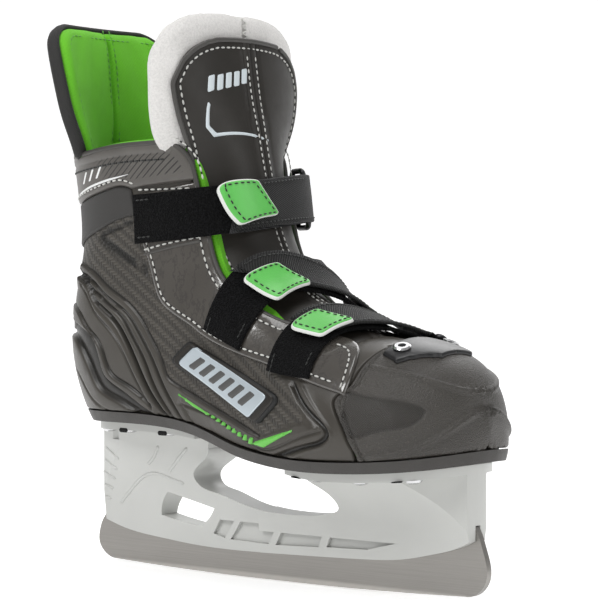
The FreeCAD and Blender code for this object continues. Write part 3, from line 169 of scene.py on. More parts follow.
class Boot(Patch):
    """One side of the boot form: a from the toe to the collar, b from the sole or heel to the crown."""

    ROWS, ACROSS = 560, 260
    LENGTH, GIRTH = 290.0, 120.0

    def __init__(self, side, grown=0.0, bulge=0.0):
        self.side = side
        columns, ends = [], []
        for x0, z0, x1, z1, half, share, low, high, shift in FORM:
            start, end = np.array([x0, z0], float), np.array([x1, z1], float)
            way = unit(end - start)
            start, end = start - way * grown, end + way * grown
            angle = np.linspace(-math.pi / 2, math.pi / 2, 800)
            sn, cs = np.sin(angle), np.maximum(np.cos(angle), 0)
            power = np.where(sn < 0, low, high)
            along = share + np.sign(sn) * np.abs(sn) ** (2 / power) * np.where(sn < 0, share, 1 - share)
            wide = (half + grown + (bulge if side > 0 else 0)) * cs ** (2 / power)
            place = start + (end - start) * along[:, None]
            line = np.stack([place[:, 0], shift + side * wide, place[:, 1]], 1)
            run = lengths(line)
            at = np.linspace(0, run[-1], self.ACROSS + 1)
            columns.append(np.stack([np.interp(at, run, line[:, i]) for i in range(3)], 1))
            ends.append(np.concatenate([start, end]))
        columns, ends = np.array(columns), np.array(ends)
        gaps = np.linalg.norm(np.diff(columns, axis=0), axis=2).mean(1)
        knots = np.concatenate([[0], np.cumsum(gaps)])
        at = np.linspace(0, knots[-1], self.ROWS + 1)
        self.knots = knots * self.LENGTH / knots[-1]
        points = cubic(knots, columns, at)
        self.ends = cubic(knots, ends, at)
        super().__init__(points, self.LENGTH / self.ROWS, self.GIRTH / self.ACROSS,
                         lambda p: p - p.mean(axis=1, keepdims=True) * [1, 0, 1])
        for edge in (0, -1):
            self.normals[:, edge, 1] = 0
            self.normals[:, edge] = unit(self.normals[:, edge])
        way = self.ends[:, 2:] - self.ends[:, :2]
        flat = points[:, :, [0, 2]] - self.ends[:, None, :2]
        self.share = (flat * way[:, None]).sum(2) / (way ** 2).sum(1)[:, None]
        self.share = np.maximum.accumulate(self.share, axis=1)

    def locate(self, xz):
        """Surface coordinates of side-view points; those outside the side view go to its edge."""
        xz = np.atleast_2d(xz)
        start = self.ends[:, :2]
        way = self.ends[:, 2:] - start
        dx = xz[None, :, 0] - start[:, 0, None]
        dz = xz[None, :, 1] - start[:, 1, None]
        turn = way[:, 0, None] * dz - way[:, 1, None] * dx
        share = (way[:, 0, None] * dx + way[:, 1, None] * dz) / (way ** 2).sum(1)[:, None]
        found = []
        for k in range(len(xz)):
            change = np.nonzero(turn[:-1, k] * turn[1:, k] <= 0)[0]
            good = [i for i in change if -0.7 < share[i, k] < 1.6]
            i = good[0] if good else int(np.argmin(np.abs(turn[:-1, k])))
            span = turn[i, k] - turn[i + 1, k]
            f = turn[i, k] / span if abs(span) > 1e-9 else 0.0
            f = min(max(f, 0.0), 1.0)
            level = share[i, k] * (1 - f) + share[i + 1, k] * f
            row = self.share[i] * (1 - f) + self.share[i + 1] * f
            found.append(((i + f) * self.step[0], np.interp(level, row, np.arange(len(row))) * self.step[1]))
        return np.array(found)


BOOT = {LATERAL: Boot(LATERAL), MEDIAL: Boot(MEDIAL)}


# ---------------------------------------------------------------- flat meshing of outlines
def inside(points, polygon):
    """Which points lie inside a polygon."""
    x, y = points[:, 0], points[:, 1]
    found = np.zeros(len(points), bool)
    for (x0, y0), (x1, y1) in zip(polygon, np.roll(polygon, -1, axis=0)):
        if y0 != y1:
            crosses = (y0 > y) != (y1 > y)
            found ^= crosses & (x < (x1 - x0) * (y - y0) / (y1 - y0) + x0)
    return found


def reach(points, line, closed=False):
    """Distance from points to a line of points, and the signed side (positive on its left)."""
    line = np.asarray(line, float)
    if closed:
        line = np.concatenate([line, line[:1]])
    best, sign = np.full(len(points), 1e9), np.ones(len(points))
    for a, b in zip(line[:-1], line[1:]):
        d = b - a
        size = d @ d
        if size < 1e-12:
            continue
        t = np.clip(((points - a) @ d) / size, 0, 1)
        gap = points - a - t[:, None] * d
        far = np.hypot(gap[:, 0], gap[:, 1])
        nearer = far < best
        best = np.where(nearer, far, best)
        sign = np.where(nearer, np.sign(d[0] * gap[:, 1] - d[1] * gap[:, 0]), sign)
    return best, sign


def thinned(points, gap, kept=()):
    """Points at least a gap from each other and from those already kept."""
    cells, out = {}, []

    def near(p):
        cx, cy = int(p[0] // gap), int(p[1] // gap)
        for i in (cx - 1, cx, cx + 1):
            for j in (cy - 1, cy, cy + 1):
                for q in cells.get((i, j), ()):
                    if (p[0] - q[0]) ** 2 + (p[1] - q[1]) ** 2 < gap * gap:
                        return True
        return False

    for p in kept:
        cells.setdefault((int(p[0] // gap), int(p[1] // gap)), []).append(p)
    for p in points:
        if not near(p):
            cells.setdefault((int(p[0] // gap), int(p[1] // gap)), []).append(p)
            out.append(p)
    return np.array(out) if out else np.zeros((0, 2))


def triangulate(edge, spacing, extra=()):
    """Triangles inside a closed outline with inner points about a spacing apart."""
    edge = np.asarray(edge, float)
    keep = [edge[0]]
    for p in edge[1:]:
        if np.hypot(*(p - keep[-1])) > 0.12:
            keep.append(p)
    if np.hypot(*(keep[0] - keep[-1])) < 0.12:
        keep.pop()
    edge = np.array(keep)
    low, high = edge.min(0), edge.max(0)
    rows = np.arange(low[1] + spacing / 2, high[1], spacing * 0.87)
    grid = []
    for k, y in enumerate(rows):
        xs = np.arange(low[0] + (spacing / 2 if k % 2 else 0), high[0], spacing)
        grid.append(np.stack([xs, np.full(len(xs), y)], 1))
    grid = np.concatenate(grid)
    inset = []
    following = np.roll(edge, -1, axis=0) - np.roll(edge, 1, axis=0)
    aside = unit(np.stack([-following[:, 1], following[:, 0]], 1))
    turn = np.sum(edge[:, 0] * np.roll(edge[:, 1], -1) - np.roll(edge[:, 0], -1) * edge[:, 1])
    aside = aside if turn > 0 else -aside
    for depth in (0.25, 0.6, 1.1):
        inset.append(edge + aside * depth)
    wanted = [p[inside(p, edge)] for p in [np.concatenate(inset), *extra] if len(p)]
    wanted = [p[reach(p, edge, True)[0] > 0.2] for p in wanted]
    fine = thinned(np.concatenate(wanted), 0.3, edge) if wanted else np.zeros((0, 2))
    grid = grid[inside(grid, edge)]
    near = np.concatenate([edge, fine])
    coarse = thinned(grid, spacing * 0.55, near)
    points = np.concatenate([edge, fine, coarse])
    result = delaunay_2d_cdt([Vector(p) for p in points], [], [list(range(len(edge)))], 1, 1e-5)
    found = np.array([list(v) for v in result[0]])
    faces = np.array([f for f in result[2] if len(f) == 3], int)
    flat = found[faces]
    area = np.cross(flat[:, 1] - flat[:, 0], flat[:, 2] - flat[:, 0])
    faces[area < 0] = faces[area < 0][:, ::-1]
    return found, faces[np.abs(area) > 1e-7]


def rim_edges(faces):
    """Directed edges used by one face only."""
    edges = np.concatenate([faces[:, [0, 1]], faces[:, [1, 2]], faces[:, [2, 0]]])
    known = {(a, b) for a, b in edges.tolist()}
    return [(a, b) for a, b in known if (b, a) not in known]


# ---------------------------------------------------------------- meshes
def add_mesh(name, points, faces, material, body=None, slot=None, replaces=(), attributes=None, flat=False):
    """Object from points in millimetres, riding on a body."""
    mesh = bpy.data.meshes.new(name)
    mesh.from_pydata((np.asarray(points) * MM).tolist(), [], [list(f) for f in faces])
    points = np.asarray(points)
    attributes = {"place": weave_place(points), "edge": np.full(len(points), 5.0), **(attributes or {})}
    for key, values in attributes.items():
        values = np.asarray(values, np.float32)
        kind, field = ("FLOAT", "value") if values.ndim == 1 else ("FLOAT_VECTOR", "vector")
        mesh.attributes.new(key, kind, "POINT").data.foreach_set(field, values.ravel())
    mesh.validate()
    mesh.polygons.foreach_set("use_smooth", [not flat] * len(mesh.polygons))
    for item in material if isinstance(material, (list, tuple)) else [material]:
        mesh.materials.append(item)
    mesh.update()
    obj = bpy.data.objects.new(name, mesh)
    bpy.context.scene.collection.objects.link(obj)
    if body:
        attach(obj, body)
    if replaces:
        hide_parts(*replaces)
    return obj


def weave_place(points):
    """Coordinates for weaves: along the boot round heel and toe, and height."""
    x, y, z = points.T
    wrap = np.maximum(0, 33 - np.abs(y))
    turned = np.where(x < -60, -wrap, np.where(x > 70, wrap, 0))
    return np.stack([x + turned, z, y], 1)


def closed_sheet(patches, ab, faces, low, high, soft, relief=None, seam=None):
    """Closed skin over one or two patches that share coordinates, with a rounded edge.

    low and high are heights of its two faces; relief(points) adds to the outer one."""
    count = len(ab)
    joined = np.zeros(count, bool) if seam is None else seam(ab)
    outer, inner, tris, near_edge = [], [], [], []
    for index, patch in enumerate(patches):
        edges = [(a, b) for a, b in rim_edges(faces) if not (joined[a] and joined[b])]
        base, normal = patch.at(ab, low)
        rim = np.unique(np.array(edges).ravel()) if edges else np.array([], int)
        loop = np.concatenate([base[[a for a, _ in edges]], (base[[a for a, _ in edges]]
                               + base[[b for _, b in edges]]) / 2]) if edges else np.zeros((0, 3))
        tree = KDTree(max(1, len(loop)))
        for k, p in enumerate(loop):
            tree.insert(p, k)
        tree.balance()
        gap = np.array([tree.find(p)[2] for p in base]) if len(loop) else np.full(count, 99.0)
        gap[rim] = 0
        bow = np.clip(gap / soft, 0, 1)
        rise = 0.15 + 0.85 * np.sqrt(np.clip(1 - (1 - bow) ** 2, 0, 1))
        height = low + (high - low) * rise
        if relief is not None:
            height = height + relief(patch.at(ab, 0)[0]) * np.clip(gap / 1.0, 0, 1)
        outer.append(patch.at(ab, 0)[0] + normal * height[:, None])
        inner.append(base)
        near_edge.append(gap)
        shift = index * count
        turned = faces if patch_turn(patch, ab, faces) > 0 else faces[:, ::-1]
        tris.append(turned + shift)
    points = np.concatenate(outer + inner)
    total = count * len(patches)
    outside = np.concatenate(tris)
    name = np.arange(total * 2)
    if len(patches) == 2:
        for start in (0, total):
            name[start + count + np.nonzero(joined)[0]] = start + np.nonzero(joined)[0]
    outside = name[outside]
    sides = [(a, b, b + total, a + total) for a, b in rim_edges(outside)]
    everything = [list(f) for f in outside] + [list(name[f[::-1] + total]) for f in np.concatenate(tris)]
    everything += [[b, a, name[d], name[c]] for a, b, c, d in sides]
    used = np.unique(np.concatenate([np.array(f) for f in everything]))
    order = np.full(len(points), -1)
    order[used] = np.arange(len(used))
    edge = np.concatenate(near_edge * 2)[used]
    return points[used], [order[f].tolist() for f in everything], edge


def patch_turn(patch, ab, faces):
    """Positive when flat triangles keep their turn, seen from outside the patch."""
    f = faces[len(faces) // 2]
    p, n = patch.at(ab[f], 0)
    return float(np.cross(p[1] - p[0], p[2] - p[0]) @ n.mean(0))


def panel(name, edge, sides, low, high, material, body="boot", slot=None, replaces=(), soft=0.8,
          spacing=1.6, relief=None, lines=(), seam=None, extra_attributes=None):
    """Closed skin on the boot inside an outline given in surface coordinates."""
    home = BOOT[sides[0]]
    extra = [home.locate(p) for p in lines]
    ab, faces = triangulate(edge, spacing, extra)
    if seam == "heel":
        joined = lambda ab: ab[:, 1] < 1e-4
    elif seam == "crown":
        joined = lambda ab: (ab[:, 1] > Boot.GIRTH - 1e-4) | (ab[:, 1] < 1e-4) | (ab[:, 0] < 1e-4)
    else:
        joined = None
    patches = [BOOT[s] for s in sides]
    points, all_faces, edge_gap = closed_sheet(patches, ab, faces, low, high, soft, relief, joined)
    attributes = {"place": weave_place(points), "edge": edge_gap}
    if extra_attributes:
        attributes.update(extra_attributes(points))
    return add_mesh(name, points, all_faces, material, body, slot, replaces, attributes)


def beside(line, *offsets, step=0.8):
    """Side-view points along a line, at distances to its side."""
    line = smooth(line, step)
    way = unit(np.gradient(line, axis=0))
    aside = np.stack([-way[:, 1], way[:, 0]], 1)
    return np.concatenate([line + aside * d for d in offsets])


# ---------------------------------------------------------------- materials
class Paint:
    """Material of nodes round one Principled shader."""

    def __init__(self, name, color, rough, **constants):
        self.material = bpy.data.materials.new(name)
        self.material.use_nodes = True
        self.tree = self.material.node_tree
        self.shader = self.tree.nodes["Principled BSDF"]
        self.set("Base Color", color)
        self.set("Roughness", rough)
        for key, value in constants.items():
            self.set(key.replace("_", " "), value)

    def set(self, name, value):
        """A shader socket from a constant or a node's output."""
        socket = self.shader.inputs[name]
        if isinstance(value, bpy.types.NodeSocket):
            self.tree.links.new(value, socket)
        elif isinstance(value, (tuple, list)) and len(value) == 3:
            socket.default_value = (*value, 1.0)
        else:
            socket.default_value = value

    def node(self, kind, *inputs, **settings):
        """A node with its inputs given in order; None leaves one alone."""
        made = self.tree.nodes.new("ShaderNode" + kind)
        for key, value in settings.items():
            setattr(made, key, value)
        for socket, value in zip(made.inputs, inputs):
            if isinstance(value, bpy.types.NodeSocket):
                self.tree.links.new(value, socket)
            elif value is not None:
                socket.default_value = value
        return made

    def math(self, operation, a, b=0.0, c=0.0):
        """One arithmetic step."""
        return self.node("Math", a, b, c, operation=operation).outputs[0]

    def attribute(self, name):
        """A mesh attribute as a vector and a number."""
        made = self.node("Attribute", attribute_name=name)
        return made.outputs["Vector"], made.outputs["Fac"]

    def place(self):
        """Object coordinates in millimetres."""
        where = self.node("TexCoord").outputs["Object"]
        return self.node("VectorMath", where, (1000, 1000, 1000), operation="MULTIPLY").outputs[0]

    def split(self, vector):
        """The three numbers of a vector."""
        made = self.node("SeparateXYZ", vector)
        return made.outputs[0], made.outputs[1], made.outputs[2]

    def noise(self, vector, size, detail=2.0, rough=0.5, stretch=None):
        """Noise with features about so many millimetres across."""
        if stretch:
            vector = self.node("VectorMath", vector, stretch, operation="MULTIPLY").outputs[0]
        made = self.node("TexNoise")
        self.tree.links.new(vector, made.inputs["Vector"])
        made.inputs["Scale"].default_value = 1.0 / size
        made.inputs["Detail"].default_value = detail
        made.inputs["Roughness"].default_value = rough
        return made.outputs["Fac"]

    def cells(self, vector, size, feature="F1"):
        """Distance to scattered points about so many millimetres apart."""
        made = self.node("TexVoronoi", feature=feature)
        self.tree.links.new(vector, made.inputs["Vector"])
        made.inputs["Scale"].default_value = 1.0 / size
        return made.outputs["Distance"]

    def between(self, value, low, high):
        """0 below low, 1 above high, smooth between."""
        made = self.node("MapRange", interpolation_type="SMOOTHSTEP")
        self.tree.links.new(value, made.inputs["Value"])
        made.inputs["From Min"].default_value = low
        made.inputs["From Max"].default_value = high
        return made.outputs[0]

    def mix(self, share, a, b):
        """Colour between two colours."""
        made = self.node("Mix", data_type="RGBA")
        for socket, value in ((made.inputs[0], share), (made.inputs[6], a), (made.inputs[7], b)):
            if isinstance(value, bpy.types.NodeSocket):
                self.tree.links.new(value, socket)
            else:
                socket.default_value = (*value, 1.0) if isinstance(value, tuple) else value
        return made.outputs[2]

    def blend(self, share, a, b):
        """Number between two numbers."""
        made = self.node("Mix", data_type="FLOAT")
        for socket, value in zip(made.inputs[:1] + made.inputs[2:4], (share, a, b)):
            if isinstance(value, bpy.types.NodeSocket):
                self.tree.links.new(value, socket)
            else:
                socket.default_value = value
        return made.outputs[0]

    def bump(self, height, depth, strength=1.0):
        """Bump with a depth in millimetres."""
        made = self.node("Bump")
        made.inputs["Strength"].default_value = strength
        made.inputs["Distance"].default_value = depth * MM
        self.tree.links.new(height, made.inputs["Height"])
        self.set("Normal", made.outputs[0])


def shade(color, factor):
    """A colour made lighter or darker."""
    return tuple(min(1.0, c * factor) for c in color)


def ripple(paint, value, period):
    """0 to 1 wave with a period in millimetres."""
    turned = paint.math("SINE", paint.math("MULTIPLY", value, 2 * math.pi / period))
    return paint.math("MULTIPLY_ADD", turned, 0.5, 0.5)


def twill(paint, s, t, cell):
    """Height of a two-over-two weave and which thread is on top."""
    s, t = paint.math("DIVIDE", s, cell), paint.math("DIVIDE", t, cell)
    step = paint.math("ADD", paint.math("FLOOR", s), paint.math("FLOOR", t))
    over = paint.math("LESS_THAN", paint.math("FLOORED_MODULO", step, 4.0), 1.5)
    across_s = paint.math("SINE", paint.math("MULTIPLY", paint.math("FRACT", s), math.pi))
    across_t = paint.math("SINE", paint.math("MULTIPLY", paint.math("FRACT", t), math.pi))
    return paint.blend(over, across_s, across_t), over


def moulded_weave():
    """Quarter shell: moulded composite weave, plain smooth bands where the mask says so, and painted shade
    near black in its grooves and recesses.
    """
    light, dark, smooth_tone = (.080, .072, .061), (.023, .021, .018), (.050, .045, .038)
    p = Paint("shell_composite", light, .42, Specular_IOR_Level=.38)
    place, _ = p.attribute("place")
    x, z, _ = p.split(place)
    turned = p.math("MULTIPLY_ADD", z, .16, x)
    height, over = twill(p, turned, p.math("MULTIPLY_ADD", x, -.16, z), 1.35)
    plain = p.attribute("plain")[1]
    cloud = p.noise(place, 26, 3)
    grain = p.noise(place, .35, 2)
    tone = p.mix(over, dark, light)
    tone = p.mix(p.math("MULTIPLY", height, .55), tone, light)
    tone = p.mix(p.math("MULTIPLY", cloud, .5), tone, shade(dark, 1.1))
    band = p.mix(cloud, shade(smooth_tone, .8), shade(smooth_tone, 1.25))
    tone = p.mix(plain, tone, band)
    # painted shade: grooves and the recess between lines 7 and 8 are darkened towards near black
    painted_groove_shade = p.attribute("painted_groove_shade")[1]
    p.set("Base Color", p.mix(painted_groove_shade, tone, (.006, .006, .0055)))
    p.set("Roughness", p.blend(plain, .46, p.blend(grain, .26, .4)))
    level = p.blend(plain, p.math("MULTIPLY_ADD", grain, .2, height), p.math("MULTIPLY", grain, .25))
    p.bump(level, .22, .8)
    return p.material


def leather(name, tone, rough, grain=.5, depth=.05, edge_lightening=1.5, **constants):
    """Synthetic leather: fine pebbled grain, clouded tone, lighter in patches along the outline."""
    p = Paint(name, tone, rough, **constants)
    place = p.place()
    pebble = p.cells(place, grain)
    cloud = p.noise(place, 14, 4, .6)
    tone_now = p.mix(cloud, shade(tone, .78), shade(tone, 1.25))
    if edge_lightening:
        # lighter in noisy patches within about a millimetre of the outline
        edge_lighter = p.between(p.attribute("edge")[1], .9, .05)
        edge_lighter = p.math("MULTIPLY", edge_lighter, p.noise(place, 1.8, 2))
        tone_now = p.mix(p.math("MULTIPLY", edge_lighter, .6), tone_now, shade(tone, edge_lightening * 1.6))
    p.set("Base Color", tone_now)
    p.set("Roughness", p.blend(p.noise(place, 5, 3), rough * .8, min(1.0, rough * 1.25)))
    p.bump(p.math("MULTIPLY_ADD", pebble, 1.0, p.math("MULTIPLY", cloud, .6)), depth)
    return p.material


def patent():
    """Facings: glossy synthetic; dark vein-like streaks under the gloss are painted reflections, the dark
    spots and clouds its own mottling.
    """
    tone = (.062, .056, .049)
    p = Paint("facing_patent", tone, .16, Coat_Weight=.8, Coat_Roughness=.05)
    place = p.place()
    reflection_streak = p.noise(place, 7, 5, .62, stretch=(1, 1, .5))
    # painted reflections: mask of thin dark streaks along the vein lines of the noise
    near = p.between(p.math("ABSOLUTE", p.math("SUBTRACT", reflection_streak, .52)), .035, .0)
    cloud = p.noise(place, 18, 3)
    spot = p.between(p.noise(place, 9, 4, .7), .6, .72)
    tone_now = p.mix(cloud, shade(tone, .72), shade(tone, 1.3))
    tone_now = p.mix(p.math("MULTIPLY", near, .55), tone_now, (.035, .032, .03))
    p.set("Base Color", p.mix(p.math("MULTIPLY", spot, .6), tone_now, (.03, .024, .02)))
    p.set("Roughness", p.blend(cloud, .1, .26))
    p.bump(p.math("MULTIPLY_ADD", cloud, 2.0, p.noise(place, 1.1, 2)), .12, .7)
    return p.material


def collar_cloth():
    """Collar band: satin synthetic with fine slanting ribs towards the front."""
    tone = (.095, .088, .080)
    p = Paint("collar_synthetic", tone, .36, Sheen_Weight=.05, Sheen_Roughness=.4)
    place, _ = p.attribute("place")
    x, z, _ = p.split(place)
    slant = p.math("MULTIPLY_ADD", z, -1.06, x)
    line = p.between(ripple(p, slant, 3.1), .82, .97)
    front = p.between(p.math("MULTIPLY_ADD", z, .75, x), 55, 62)
    inner = p.between(p.attribute("edge")[1], 3.4, 4.2)
    line = p.math("MULTIPLY", p.math("MULTIPLY", line, front), inner)
    cloud = p.noise(place, 12, 3)
    tone_now = p.mix(cloud, shade(tone, .75), shade(tone, 1.3))
    p.set("Base Color", p.mix(line, tone_now, (.022, .021, .02)))
    p.set("Roughness", p.blend(cloud, .3, .46))
    grain = p.noise(place, .5, 2)
    p.bump(p.math("SUBTRACT", p.math("MULTIPLY", grain, .3), line), .16)
    return p.material


def ripstop(name, tone, pitch=.75, rough=.62):
    """Close technical fabric with a fine square grid."""
    p = Paint(name, tone, rough, Sheen_Weight=.06, Sheen_Roughness=.4)
    place, _ = p.attribute("place")
    x, z, _ = p.split(place)
    a = p.math("ADD", x, z)
    b = p.math("SUBTRACT", x, z)
    grid = p.math("MULTIPLY", ripple(p, a, pitch), ripple(p, b, pitch))
    cloud = p.noise(place, 16, 2)
    base = p.mix(cloud, shade(tone, .8), shade(tone, 1.2))
    p.set("Base Color", p.mix(grid, shade(tone, .45), base))
    p.bump(grid, .1)
    return p.material


def toe_plastic():
    """Toe cap: coarse pebbled moulding with painted glints on scattered specks, fine mesh in the side inset.
    """
    tone = (.036, .032, .027)
    p = Paint("toe_moulding", tone, .4, Specular_IOR_Level=.55)
    place = p.place()
    pebble = p.cells(place, .62)
    glint_specks = p.noise(place, .5, 3, .7)
    cloud = p.noise(place, 20, 3)
    mesh_place, _ = p.attribute("place")
    x, z, _ = p.split(mesh_place)
    grid = p.math("MULTIPLY", ripple(p, p.math("ADD", x, z), .95), ripple(p, p.math("SUBTRACT", x, z), .95))
    inset = p.attribute("plain")[1]
    tone_now = p.mix(cloud, shade(tone, .78), shade(tone, 1.2))
    # painted glints: scattered specks 2.6 times lighter in the colour
    tone_now = p.mix(p.between(glint_specks, .56, .72), tone_now, shade(tone, 2.6))
    tone_now = p.mix(inset, tone_now, p.mix(grid, shade(tone, .55), shade(tone, 1.5)))
    p.set("Base Color", tone_now)
    p.set("Roughness", p.blend(glint_specks, .3, .52))
    p.bump(p.blend(inset, p.math("MULTIPLY_ADD", glint_specks, .7, pebble), grid), .26)
    return p.material


def felt(name, tone, fuzz=.12, nap=.9, rough=.95):
    """Pressed felt: matted fibres, soft cloudy tone."""
    p = Paint(name, tone, rough, Sheen_Weight=.15, Sheen_Roughness=.6)
    place = p.place()
    hair = p.noise(place, nap, 6, .75)
    long_hair = p.noise(place, 1.6, 5, .7, stretch=(1, .35, 2.2))
    cloud = p.noise(place, 22, 3)
    tone_now = p.mix(cloud, shade(tone, .9), shade(tone, 1.06))
    p.set("Base Color", p.mix(p.between(hair, .3, .65), shade(tone, .8), tone_now))
    p.bump(p.math("ADD", hair, p.math("MULTIPLY", long_hair, .7)), fuzz * 2)
    return p.material


def brushed_knit(name, tone):
    """Brushed knit lining: close rows of loops under a short nap."""
    p = Paint(name, tone, .88, Sheen_Weight=.2, Sheen_Roughness=.5)
    p.set("Sheen Tint", (.55, .95, .35))
    place = p.place()
    x, y, z = p.split(place)
    wale = ripple(p, p.math("MULTIPLY_ADD", y, .35, z), .62)
    course = ripple(p, p.math("ADD", y, x), .5)
    loops = p.math("MULTIPLY_ADD", wale, .6, p.math("MULTIPLY", course, .4))
    nap = p.noise(place, .45, 4, .7)
    cloud = p.noise(place, 15, 3)
    base = p.mix(cloud, shade(tone, .8), shade(tone, 1.18))
    level = p.math("MULTIPLY_ADD", nap, 1.2, loops)
    p.set("Base Color", p.mix(p.between(level, .5, 1.35), shade(tone, .6), base))
    p.bump(level, .12)
    return p.material


def webbing():
    """Strap webbing: heavy diagonal twill, charcoal."""
    tone = (.021, .021, .021)
    p = Paint("strap_webbing", tone, .6, Sheen_Weight=.05, Sheen_Roughness=.35, Specular_IOR_Level=.3)
    place, _ = p.attribute("place")
    s, t, _ = p.split(place)
    rib = ripple(p, p.math("MULTIPLY_ADD", t, .75, s), .95)
    thread = ripple(p, p.math("MULTIPLY_ADD", s, -.6, t), .5)
    level = p.math("MULTIPLY", rib, p.math("MULTIPLY_ADD", thread, .45, .55))
    dust = p.noise(place, 6, 3)
    base = p.mix(dust, shade(tone, .85), shade(tone, 1.35))
    p.set("Base Color", p.mix(level, shade(tone, .3), base))
    p.set("Roughness", p.blend(level, .8, .48))
    p.bump(level, .22)
    return p.material


def loop_pile():
    """Loop side of the closure: short tangled black pile."""
    tone = (.0045, .0045, .0048)
    p = Paint("loop_pile", tone, 1.0, Sheen_Weight=.03, Sheen_Roughness=.4, Specular_IOR_Level=.08)
    place = p.place()
    curl = p.noise(place, .8, 6, .8)
    knot = p.cells(place, .7)
    level = p.math("ADD", curl, p.math("MULTIPLY", knot, .6))
    p.set("Base Color", p.mix(p.between(level, .5, 1.1), shade(tone, .35), shade(tone, 2.2)))
    p.bump(level, 1.0)
    return p.material


def hook_tape():
    """Hook side of the closure: rows of tiny stiff hooks."""
    tone = (.012, .012, .013)
    p = Paint("hook_tape", tone, .5)
    place = p.place()
    x, y, z = p.split(place)
    rows = p.math("MULTIPLY", ripple(p, p.math("ADD", x, z), .8), ripple(p, y, .8))
    p.set("Base Color", p.mix(rows, shade(tone, .5), shade(tone, 2.0)))
    p.bump(rows, .3)
    return p.material


def rubber_tab():
    """Pull tab face: satin moulded rubber with a fine diagonal emboss."""
    tone = (.105, .50, .085)
    p = Paint("tab_rubber", tone, .38, Coat_Weight=.25, Coat_Roughness=.25)
    place = p.place()
    x, y, z = p.split(place)
    a = ripple(p, p.math("ADD", p.math("ADD", x, y), z), .8)
    b = ripple(p, p.math("SUBTRACT", p.math("ADD", x, y), z), .8)
    grid = p.math("MULTIPLY", a, b)
    cloud = p.noise(place, 8, 3)
    base = p.mix(cloud, shade(tone, .9), shade(tone, 1.1))
    p.set("Base Color", p.mix(p.math("MULTIPLY", grid, .3), base, shade(tone, .75)))
    p.set("Roughness", p.blend(cloud, .3, .46))
    p.bump(grid, .045)
    return p.material


def plain_plastic(name, tone, rough, depth=.03, grain=.6, **constants):
    """Moulded plastic with a faint texture and tone drift."""
    p = Paint(name, tone, rough, **constants)
    place = p.place()
    cloud = p.noise(place, 24, 3)
    fine = p.noise(place, grain, 3)
    p.set("Base Color", p.mix(cloud, shade(tone, .93), shade(tone, 1.05)))
    p.set("Roughness", p.blend(fine, rough * .85, min(1.0, rough * 1.15)))
    p.bump(fine, depth)
    return p.material


def steel():
    """Runner: long brushed grain, darker drift and a polished edge near the ice."""
    tone = (.36, .345, .325)
    p = Paint("runner_steel", tone, .34, Metallic=1.0, Anisotropic=.35)
    place = p.place()
    x, y, z = p.split(place)
    line = p.noise(place, 1.2, 5, .7, stretch=(.035, 1, 4))
    fine = p.noise(place, .5, 3, .6, stretch=(.03, 1, 5))
    drift = p.noise(place, 18, 3, stretch=(.4, 1, 1))
    base = p.mix(line, shade(tone, .68), shade(tone, 1.2))
    base = p.mix(p.math("MULTIPLY", drift, .4), base, shade(tone, .62))
    edge = p.between(z, 2.6, 1.2)
    p.set("Base Color", p.mix(edge, base, shade(tone, 1.35)))
    p.set("Roughness", p.blend(line, .28, .5))
    p.bump(p.math("ADD", line, fine), .02)
    return p.material


def bright_metal(name, tone, rough):
    """Plated small metal parts with faint handling marks."""
    p = Paint(name, tone, rough, Metallic=1.0)
    place = p.place()
    mark = p.noise(place, 1.5, 4, .6)
    p.set("Base Color", p.mix(mark, shade(tone, .8), tone))
    p.set("Roughness", p.blend(mark, rough * .7, rough * 1.5))
    p.bump(p.noise(place, .4, 2), .01)
    return p.material


def thread(name, tone):
    """Sewing thread: two plies twisted round each other."""
    p = Paint(name, tone, .65, Sheen_Weight=.3, Sheen_Roughness=.4)
    place = p.place()
    x, y, z = p.split(place)
    ply = ripple(p, p.math("ADD", p.math("ADD", x, y), z), .42)
    p.set("Base Color", p.mix(ply, shade(tone, .6), tone))
    p.bump(ply, .08)
    return p.material


SHELL = moulded_weave()
OUTSOLE = leather("outsole_rubber", (.034, .031, .028), .5, .7, .06, 0)
LEATHER = leather("tongue_leather", (.019, .0165, .0135), .42, .42, .03, Specular_IOR_Level=.35)
PIPING = leather("binding_leather", (.052, .049, .045), .45, .5, .04)
PATENT = patent()
COLLAR = collar_cloth()
PANEL = ripstop("ankle_fabric", (.052, .049, .046))
GUARD_CLOTH = ripstop("guard_fabric", (.028, .027, .026), .9, .75)
TOE = toe_plastic()
FELT = felt("tongue_felt_white", (.75, .735, .715))
FOOTBED = felt("footbed_felt", (.12, .12, .12))
GREEN = brushed_knit("lining_knit_green", (.155, .60, .018))
WEBBING = webbing()
LOOP = loop_pile()
HOOK = hook_tape()
TAB = rubber_tab()
TAB_CORE = plain_plastic("tab_core", (.72, .73, .70), .5)
HOLDER = plain_plastic("holder_nylon", (.52, .525, .505), .34, .02, .8)
STEEL = steel()
CHROME = bright_metal("plated_steel", (.72, .72, .73), .22)
DARK_METAL = bright_metal("blackened_steel", (.06, .06, .062), .3)
BADGE = plain_plastic("badge_silver", (.50, .56, .60), .32, .02, .5, Metallic=.35)
BADGE_MARK = plain_plastic("badge_letter_grey", (.07, .07, .068), .45)
BADGE_LINE = plain_plastic("badge_groove", (.006, .006, .006), .6)
GLOSS = plain_plastic("black_gloss", (.010, .010, .011), .34, .03, .8)
ACCENT = plain_plastic("accent_green", (.13, .50, .07), .4)
PRINT = plain_plastic("print_silver", (.60, .66, .69), .4)
WHITE_PRINT = plain_plastic("print_white", (.80, .81, .81), .4)
WHITE_THREAD = thread("thread_white", (.78, .78, .74))
BLACK_THREAD = thread("thread_black", (.012, .014, .012))
# painted shade: near-black material for the flat pieces at needle holes and rivet recesses
HOLE_SHADE = plain_plastic("painted_hole_shade", (.008, .008, .008), .9)
GREEN_THREAD = thread("thread_green", (.10, .42, .03))
BOARD = leather("board_fibre", (.10, .09, .075), .8, .8, .06, 0)


